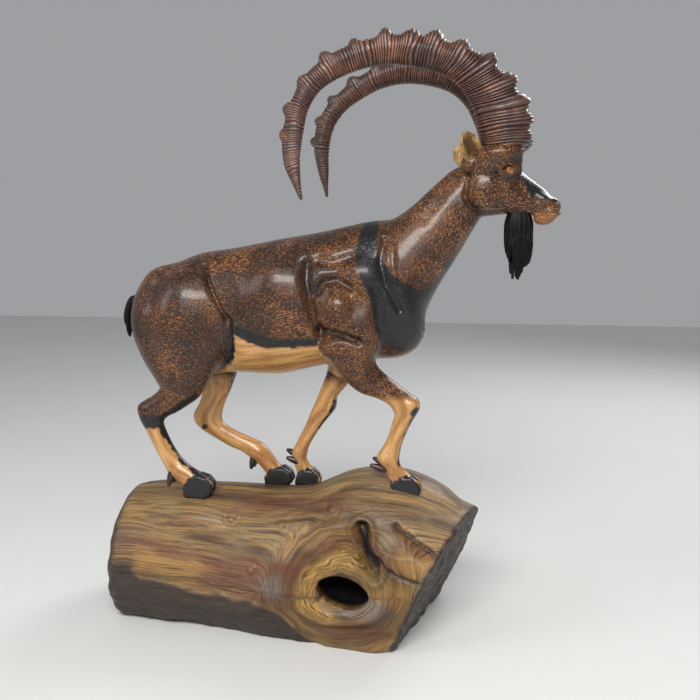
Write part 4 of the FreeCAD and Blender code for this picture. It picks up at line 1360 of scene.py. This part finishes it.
class Paint:
    """One material and short ways to add nodes to it."""

    def __init__(self, name, roughness=0.5, coat=0.0, coat_roughness=0.1, specular=0.5, metallic=0.0):
        self.material = bpy.data.materials.new(name)
        self.material.use_nodes = True
        self.tree = self.material.node_tree
        self.tree.nodes.clear()
        self.shader = self.tree.nodes.new("ShaderNodeBsdfPrincipled")
        output = self.tree.nodes.new("ShaderNodeOutputMaterial")
        self.tree.links.new(self.shader.outputs[0], output.inputs[0])
        sockets = {"Roughness": roughness, "Coat Weight": coat, "Coat Roughness": coat_roughness,
                   "Specular IOR Level": specular, "Metallic": metallic}
        for name, value in sockets.items():
            self.shader.inputs[name].default_value = value

    def make(self, kind, inputs=None, **settings):
        node = self.tree.nodes.new(kind)
        for key, value in settings.items():
            setattr(node, key, value)
        for key, value in (inputs or {}).items():
            if isinstance(value, bpy.types.NodeSocket):
                self.tree.links.new(value, node.inputs[key])
            else:
                node.inputs[key].default_value = value
        return node

    def value(self, name):
        return self.make("ShaderNodeAttribute", attribute_name=name).outputs["Fac"]

    def vector(self, name):
        return self.make("ShaderNodeAttribute", attribute_name=name).outputs["Vector"]

    def place(self):
        """The point on the piece in millimetres."""
        coordinates = self.make("ShaderNodeTexCoord").outputs["Object"]
        return self.stretch(coordinates, (1000, 1000, 1000))

    def stretch(self, vector, scale):
        return self.make("ShaderNodeVectorMath", {0: vector, 1: scale}, operation="MULTIPLY").outputs[0]

    def noise(self, vector, size, detail=2.0, roughness=0.5, distortion=0.0):
        """Noise with lumps of this size in millimetres, one size or one per axis."""
        size = (size,) * 3 if isinstance(size, (int, float)) else size
        scaled = self.stretch(vector, tuple(1 / s for s in size))
        inputs = {"Vector": scaled, "Scale": 1.0, "Detail": detail, "Roughness": roughness,
                  "Distortion": distortion}
        return self.make("ShaderNodeTexNoise", inputs).outputs["Fac"]

    def dashes(self, vector, size):
        """Separate small strokes: how far from the middle of one, and its own random number."""
        scaled = self.stretch(vector, tuple(1 / s for s in size))
        cells = self.make("ShaderNodeTexVoronoi", {"Vector": scaled, "Scale": 1.0})
        number = self.make("ShaderNodeSeparateColor", {0: cells.outputs["Color"]}).outputs[0]
        return cells.outputs["Distance"], number

    def grade(self, value, low, high, to_low=0.0, to_high=1.0):
        return self.make("ShaderNodeMapRange", {0: value, 1: low, 2: high, 3: to_low, 4: to_high},
                         interpolation_type="SMOOTHSTEP").outputs[0]

    def math(self, operation, first, second=0.0):
        return self.make("ShaderNodeMath", {0: first, 1: second}, operation=operation).outputs[0]

    def mix(self, factor, first, second):
        node = self.make("ShaderNodeMix", {0: factor, 6: first, 7: second}, data_type="RGBA")
        return node.outputs[2]

    def over(self, under, name, top, share=1.0):
        """Lay a colour over another one as far as a stored share says, times a strength."""
        factor = self.value(name)
        if share != 1.0:
            factor = self.math("MULTIPLY", factor, share)
        return self.mix(factor, under, top)

    def ramp(self, value, stops):
        node = self.make("ShaderNodeValToRGB", {0: value})
        elements = node.color_ramp.elements
        while len(elements) < len(stops):
            elements.new(0.5)
        for element, (position, colour) in zip(elements, stops):
            element.position, element.color = position, colour
        return node.outputs[0]

    def bump(self, height, depth_mm, normal=None):
        inputs = {"Height": height, "Distance": depth_mm * MM, "Strength": 1.0}
        if normal is not None:
            inputs["Normal"] = normal
        return self.make("ShaderNodeBump", inputs).outputs[0]

    def finish(self, colour, normal=None, roughness=None):
        self.tree.links.new(colour, self.shader.inputs["Base Color"])
        if normal is not None:
            self.tree.links.new(normal, self.shader.inputs["Normal"])
        if roughness is not None:
            self.tree.links.new(roughness, self.shader.inputs["Roughness"])
        return self.material


def hide_material():
    """Varnished honey wood with burnt hair strokes, black markings, white patches, painted shade in creases
    and at the inner tops of the legs, and black hooves.
    """
    paint = Paint("hide_wood", roughness=0.34, coat=0.3, coat_roughness=0.16, specular=0.35)
    flow, place = paint.vector("flow"), paint.place()
    apart, number = paint.dashes(flow, (4.4, 0.85, 0.85))
    clouds = paint.noise(place, 34, 3)
    fibres = paint.noise(flow, (7, 0.6, 0.6), 2)
    reach = paint.grade(clouds, 0.34, 0.66, 0.30, 0.46)
    dash = paint.grade(paint.math("SUBTRACT", reach, apart), -0.12, 0.10)
    shade = paint.math("MULTIPLY", dash, paint.grade(number, 0.0, 1.0, 0.35, 1.0))
    wood = paint.ramp(fibres, [(0.3, srgb(128, 76, 38)), (0.55, srgb(172, 112, 62)),
                               (0.75, srgb(210, 154, 98))])
    burnt = paint.ramp(clouds, [(0.3, srgb(30, 15, 8)), (0.7, srgb(56, 30, 15))])
    coat = paint.mix(shade, burnt, wood)
    coat = paint.over(coat, "ochre", paint.mix(shade, srgb(84, 46, 22), srgb(204, 146, 84)), 0.7)
    # The dark share holds dark lines and eye rings, and painted shade in the carved creases and at the inner
    # tops of the legs.
    coat = paint.over(coat, "dark", srgb(20, 11, 8), 0.8)

    warped = paint.noise(flow, (150, 26, 26), 2, 0.5, 0.4)
    rings = paint.math("PINGPONG", paint.math("MULTIPLY", warped, 14.0), 1.0)
    fine = paint.noise(flow, (60, 1.6, 1.6), 3)
    honey = paint.ramp(rings, [(0.0, srgb(142, 98, 54)), (0.2, srgb(174, 128, 76)),
                               (1.0, srgb(194, 151, 95))])
    honey = paint.mix(paint.grade(fine, 0.42, 0.72, 0.0, 0.5), honey, srgb(132, 86, 46))
    tan = paint.mix(paint.grade(apart, 0.22, 0.42), srgb(66, 36, 20), srgb(158, 104, 58))
    colour = paint.over(paint.over(coat, "pale", honey), "tan", tan, 0.75)
    # Painted shade on the pale wood where the dark share lies, as at the inner tops of the legs.
    shadow = paint.math("MULTIPLY", paint.value("dark"), paint.value("pale"))
    colour = paint.mix(paint.math("MULTIPLY", shadow, 0.75), colour, srgb(40, 24, 14))
    colour = paint.over(colour, "black", paint.mix(fibres, srgb(6, 6, 8), srgb(24, 23, 26)))
    colour = paint.over(colour, "white", srgb(236, 234, 228))
    horny = paint.mix(paint.noise(place, 5, 3), srgb(6, 6, 7), srgb(26, 25, 26))
    colour = paint.over(colour, "hoof", horny)

    covered = paint.math("MAXIMUM", paint.value("pale"), paint.value("hoof"))
    hairy = paint.math("SUBTRACT", 1.0, paint.math("MULTIPLY", covered, 0.9))
    height = paint.math("MULTIPLY", paint.math("ADD", dash, paint.math("MULTIPLY", fibres, 0.8)), hairy)
    normal = paint.bump(height, 0.4)
    normal = paint.bump(paint.noise(place, 12, 2), 0.6, normal)
    dull_hoof = paint.math("MULTIPLY", paint.value("hoof"), 0.2)
    rough = paint.math("ADD", paint.grade(shade, 0.0, 1.0, 0.26, 0.38), dull_hoof)
    return paint.finish(colour, normal, rough)


def horn_material():
    """Reddish dark brown wood, lighter on the ring crests and darker in the growth grooves as painted shade,
    and worn on the knobs.
    """
    paint = Paint("horn_wood", roughness=0.42, coat=0.25, coat_roughness=0.25)
    place, groove = paint.place(), paint.value("groove")
    streaks = paint.noise(paint.vector("flow"), (0.25, 0.5, 0.5), 3)
    clouds = paint.noise(place, 22, 3)
    crest = paint.ramp(clouds, [(0.3, srgb(64, 36, 28)), (0.5, srgb(92, 56, 42)),
                                (0.72, srgb(136, 88, 62))])
    crest = paint.mix(paint.grade(streaks, 0.4, 0.7, 0.0, 0.6), crest, srgb(46, 27, 22))
    # Painted shade in the growth grooves.
    colour = paint.mix(paint.grade(groove, 0.1, 0.8), crest, srgb(20, 11, 9))
    colour = paint.over(colour, "knob", srgb(70, 50, 42), 0.4)
    height = paint.math("ADD", streaks, paint.noise(place, 2.2, 2))
    return paint.finish(colour, paint.bump(height, 0.35), paint.grade(groove, 0, 1, 0.36, 0.62))


def ear_material():
    """Tan wood with a few burnt strokes, with painted shade inside the hollow."""
    paint = Paint("ear_wood", roughness=0.5, coat=0.15, coat_roughness=0.3)
    place = paint.place()
    apart, number = paint.dashes(place, (2.0, 2.4, 6.5))
    clouds = paint.noise(place, 9, 3)
    tan = paint.ramp(clouds, [(0.3, srgb(118, 86, 44)), (0.55, srgb(158, 124, 72)),
                              (0.75, srgb(186, 152, 98))])
    strokes = paint.math("MULTIPLY", paint.grade(apart, 0.5, 0.3), paint.grade(number, 0.2, 0.5))
    colour = paint.mix(paint.math("MULTIPLY", strokes, 0.75), tan, srgb(64, 40, 20))
    # Painted shade inside the ear's hollow.
    colour = paint.over(colour, "cup", srgb(74, 54, 30))
    return paint.finish(colour, paint.bump(apart, 0.15))


def black_material():
    """Black stained carved locks, barely brown where the light catches them."""
    paint = Paint("black_wood", roughness=0.6, coat_roughness=0.3, specular=0.16)
    grain = paint.noise(paint.place(), (1.1, 1.1, 9), 3)
    colour = paint.mix(paint.grade(grain, 0.45, 0.75), srgb(5, 5, 6), srgb(20, 18, 19))
    return paint.finish(colour, paint.bump(grain, 0.5), paint.grade(grain, 0.3, 0.7, 0.4, 0.6))


def eye_material():
    """A bead with a dark pupil, an amber iris streaked outwards, and a dark rim."""
    paint = Paint("eye_glass", roughness=0.08, coat=1.0, coat_roughness=0.02)
    bead = paint.vector("bead")
    flat = paint.stretch(bead, (1, 1, 0))
    radius = paint.make("ShaderNodeVectorMath", {0: flat}, operation="LENGTH").outputs["Value"]
    streaks = paint.noise(bead, (0.7, 0.7, 3), 3)
    iris = paint.mix(streaks, srgb(116, 50, 18), srgb(190, 104, 42))
    colour = paint.mix(paint.grade(radius, 1.3, 1.7), srgb(6, 5, 5), iris)
    colour = paint.mix(paint.grade(radius, 3.4, 4.2), colour, srgb(18, 9, 6))
    return paint.finish(colour)


def log_material():
    """Weathered hardwood: olive to yellow brown fibres, reddish streaks, grey patches with a painted glint,
    dark bark that also paints the shade low on the front, painted shade in the cracks and hollows, and a grey
    rough end.
    """
    paint = Paint("log_wood", roughness=0.5, coat=0.2, coat_roughness=0.3)
    flow, place = paint.vector("flow"), paint.place()
    fibres = paint.noise(flow, (60, 1.5, 7), 4, 0.6, 0.3)
    streaks = paint.noise(flow, (90, 5.0, 10), 4, 0.62, 0.7)
    bands = paint.noise(flow, (150, 15, 24), 3, 0.55, 0.9)
    clouds = paint.noise(place, 34, 3)
    colour = paint.ramp(bands, [(0.30, srgb(60, 39, 20)), (0.42, srgb(98, 70, 38)),
                                (0.52, srgb(126, 98, 56)), (0.62, srgb(152, 118, 68)),
                                (0.74, srgb(94, 60, 32))])
    colour = paint.mix(paint.grade(clouds, 0.5, 0.7, 0.0, 0.5), colour, srgb(126, 112, 78))
    colour = paint.over(colour, "yellow", paint.mix(streaks, srgb(118, 76, 30), srgb(198, 152, 78)), 0.85)
    colour = paint.over(colour, "red", paint.mix(streaks, srgb(62, 30, 20), srgb(138, 80, 52)), 0.8)
    # Grey weathered wood, with one patch a painted glint.
    weathered_grey_and_glint = paint.mix(paint.noise(place, 5, 3), srgb(70, 60, 52), srgb(158, 146, 136))
    colour = paint.over(colour, "grey", weathered_grey_and_glint, 0.75)
    speckle, _ = paint.dashes(flow, (9, 1.8, 2.4))
    ochre = paint.mix(paint.grade(speckle, 0.3, 0.55), srgb(78, 48, 22), srgb(190, 146, 66))
    colour = paint.over(colour, "ring", ochre, 0.8)
    colour = paint.mix(paint.grade(streaks, 0.52, 0.66, 0.0, 0.75), colour, srgb(62, 40, 22))
    colour = paint.mix(paint.grade(fibres, 0.5, 0.68, 0.0, 0.8), colour, srgb(44, 29, 17))
    # Painted shade in the cracks.
    colour = paint.over(colour, "crack", srgb(22, 13, 10), 0.92)
    # Dark bark, which also paints the shade along the log's lower front.
    bark = paint.mix(paint.noise(place, (16, 5, 5), 4), srgb(14, 10, 9), srgb(64, 50, 42))
    colour = paint.over(colour, "bark", bark, 0.95)
    end = paint.ramp(paint.noise(place, (8, 10, 10), 5, 0.65),
                     [(0.36, srgb(18, 15, 15)), (0.55, srgb(54, 46, 42)), (0.72, srgb(124, 108, 92))])
    # The deep share paints near-black shade inside the hollows.
    colour = paint.over(paint.over(colour, "end", end, 0.95), "deep", srgb(12, 9, 8))
    rough_parts = paint.math("MAXIMUM", paint.value("bark"), paint.value("end"))
    height = paint.math("ADD", paint.math("MULTIPLY", fibres, 1.8), paint.noise(place, 3, 3))
    normal = paint.bump(height, 0.9)
    normal = paint.bump(paint.math("MULTIPLY", paint.noise(place, (9, 4, 4), 4), rough_parts), 3.0, normal)
    return paint.finish(colour, normal, paint.grade(rough_parts, 0, 1, 0.45, 0.72))


def peg_material():
    """Dark stained wood with a little red brown in its grain."""
    paint = Paint("dewclaw_wood", roughness=0.4, coat=0.3, coat_roughness=0.2)
    grain = paint.noise(paint.place(), (4, 2, 2), 3)
    colour = paint.mix(paint.grade(grain, 0.4, 0.7), srgb(14, 12, 12), srgb(58, 32, 24))
    return paint.finish(colour, paint.bump(grain, 0.3))


def dowel_material():
    """Plain pale wood with a long grain."""
    paint = Paint("dowel_beech", roughness=0.6)
    grain = paint.noise(paint.place(), (2, 2, 14), 3)
    return paint.finish(paint.mix(grain, srgb(170, 128, 84), srgb(206, 170, 124)), paint.bump(grain, 0.1))


def pin_material():
    """Drawn steel wire with fine scratches along it."""
    paint = Paint("pin_steel", roughness=0.35, metallic=1.0)
    scratches = paint.noise(paint.place(), (0.6, 0.6, 9), 2)
    colour = paint.mix(scratches, srgb(120, 120, 122), srgb(184, 184, 186))
    return paint.finish(colour, paint.bump(scratches, 0.03), paint.grade(scratches, 0, 1, 0.28, 0.46))


# ---------------------------------------------------------------- putting the pieces together

def show(piece, node, material):
    """Give a piece its material and let it stand for a CAD node."""
    piece.data.materials.clear()
    piece.data.materials.append(material)
    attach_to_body(piece, "root")
    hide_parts(node)


def build_all():
    hide, black = hide_material(), black_material()
    horn, ear, eye, peg = horn_material(), ear_material(), eye_material(), peg_material()
    for name, build in (("trunk", build_trunk), ("neck_and_head", build_neck_and_head)):
        piece = build()
        paint_body(piece)
        show(piece, name, hide)
    for name in LEGS:
        leg = build_leg(name)
        paint_leg(leg, name)
        show(leg, name, hide)
        claws = name.replace("_leg", "_dewclaws")
        show(build_dewclaws("carved_" + claws, name), claws, peg)
    for name, (stations, side, seed) in HORNS.items():
        show(build_horn("carved_" + name, stations, side, seed), name, horn)
    for name in EARS:
        show(build_ear(name), name, ear)
    for name, side in (("right_eye", RIGHT), ("left_eye", LEFT)):
        show(build_eye("glass_" + name, side), name, eye)
    show(build_beard(), "beard", black)
    show(build_tail(), "tail", black)
    show(build_log(), "log_base", log_material())


def finish_hidden_joinery():
    """The dowels and pins inside the carving stay as the CAD made them."""
    dowel, pin = dowel_material(), pin_material()
    for name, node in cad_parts.items():
        if "dowel" in name or "pin" in name:
            node.data.materials.clear()
            node.data.materials.append(pin if name == "hoof_pins" else dowel)


build_all()
finish_hidden_joinery()


# ---------------------------------------------------------------- floor, light and camera

FLOOR_HALF = 3.2
STATUE_MIDDLE = (0.0, 0.0, 0.3)


def build_floor():
    mesh = bpy.data.meshes.new("studio_floor")
    corners = [(x * FLOOR_HALF, y * FLOOR_HALF, 0) for x, y in ((-1, -1), (1, -1), (1, 1), (-1, 1))]
    mesh.from_pydata(corners, [], [(0, 1, 2, 3)])
    floor = bpy.data.objects.new("studio_floor", mesh)
    bpy.context.scene.collection.objects.link(floor)
    paint = Paint("studio_floor", roughness=0.6, specular=0.2)
    clouds = paint.noise(paint.place(), 300, 2)
    floor.data.materials.append(paint.finish(paint.mix(clouds, srgb(214, 214, 212), srgb(220, 220, 218))))


def add_area_light(name, location, size, power, colour=(1.0, 1.0, 1.0)):
    """A rectangular lamp aimed at the middle of the statue."""
    data = bpy.data.lights.new(name, "AREA")
    data.shape, data.size, data.size_y = "RECTANGLE", size[0], size[1]
    data.energy, data.color = power, colour
    lamp = bpy.data.objects.new(name, data)
    lamp.location = location
    lamp.rotation_euler = (Vector(STATUE_MIDDLE) - Vector(location)).to_track_quat("-Z", "Y").to_euler()
    bpy.context.scene.collection.objects.link(lamp)


def light_studio():
    world = bpy.data.worlds.new("studio")
    world.use_nodes = True
    background = world.node_tree.nodes["Background"]
    background.inputs["Color"].default_value = (0.80, 0.82, 0.85, 1.0)
    background.inputs["Strength"].default_value = 0.42
    bpy.context.scene.world = world
    add_area_light("key", (0.05, -1.5, 1.35), (1.1, 0.5), 36, (1.0, 0.98, 0.95))
    add_area_light("fill", (-1.5, -1.0, 1.1), (0.9, 0.9), 9, (0.92, 0.95, 1.0))
    add_area_light("rim", (0.9, 1.4, 1.4), (0.8, 0.8), 16)
    bpy.context.scene.view_settings.view_transform = "Standard"


def place_camera():
    data = bpy.data.cameras.new("photograph_view")
    data.lens, data.sensor_width = 45.15, 36.0
    camera = bpy.data.objects.new("photograph_view", data)
    camera.location = (0.17943, -0.98769, 0.463)
    camera.rotation_euler = (math.radians(90 - 8.103), 0.0, math.radians(9))
    bpy.context.scene.collection.objects.link(camera)
    bpy.context.scene.camera = camera


build_floor()
light_studio()
place_camera()
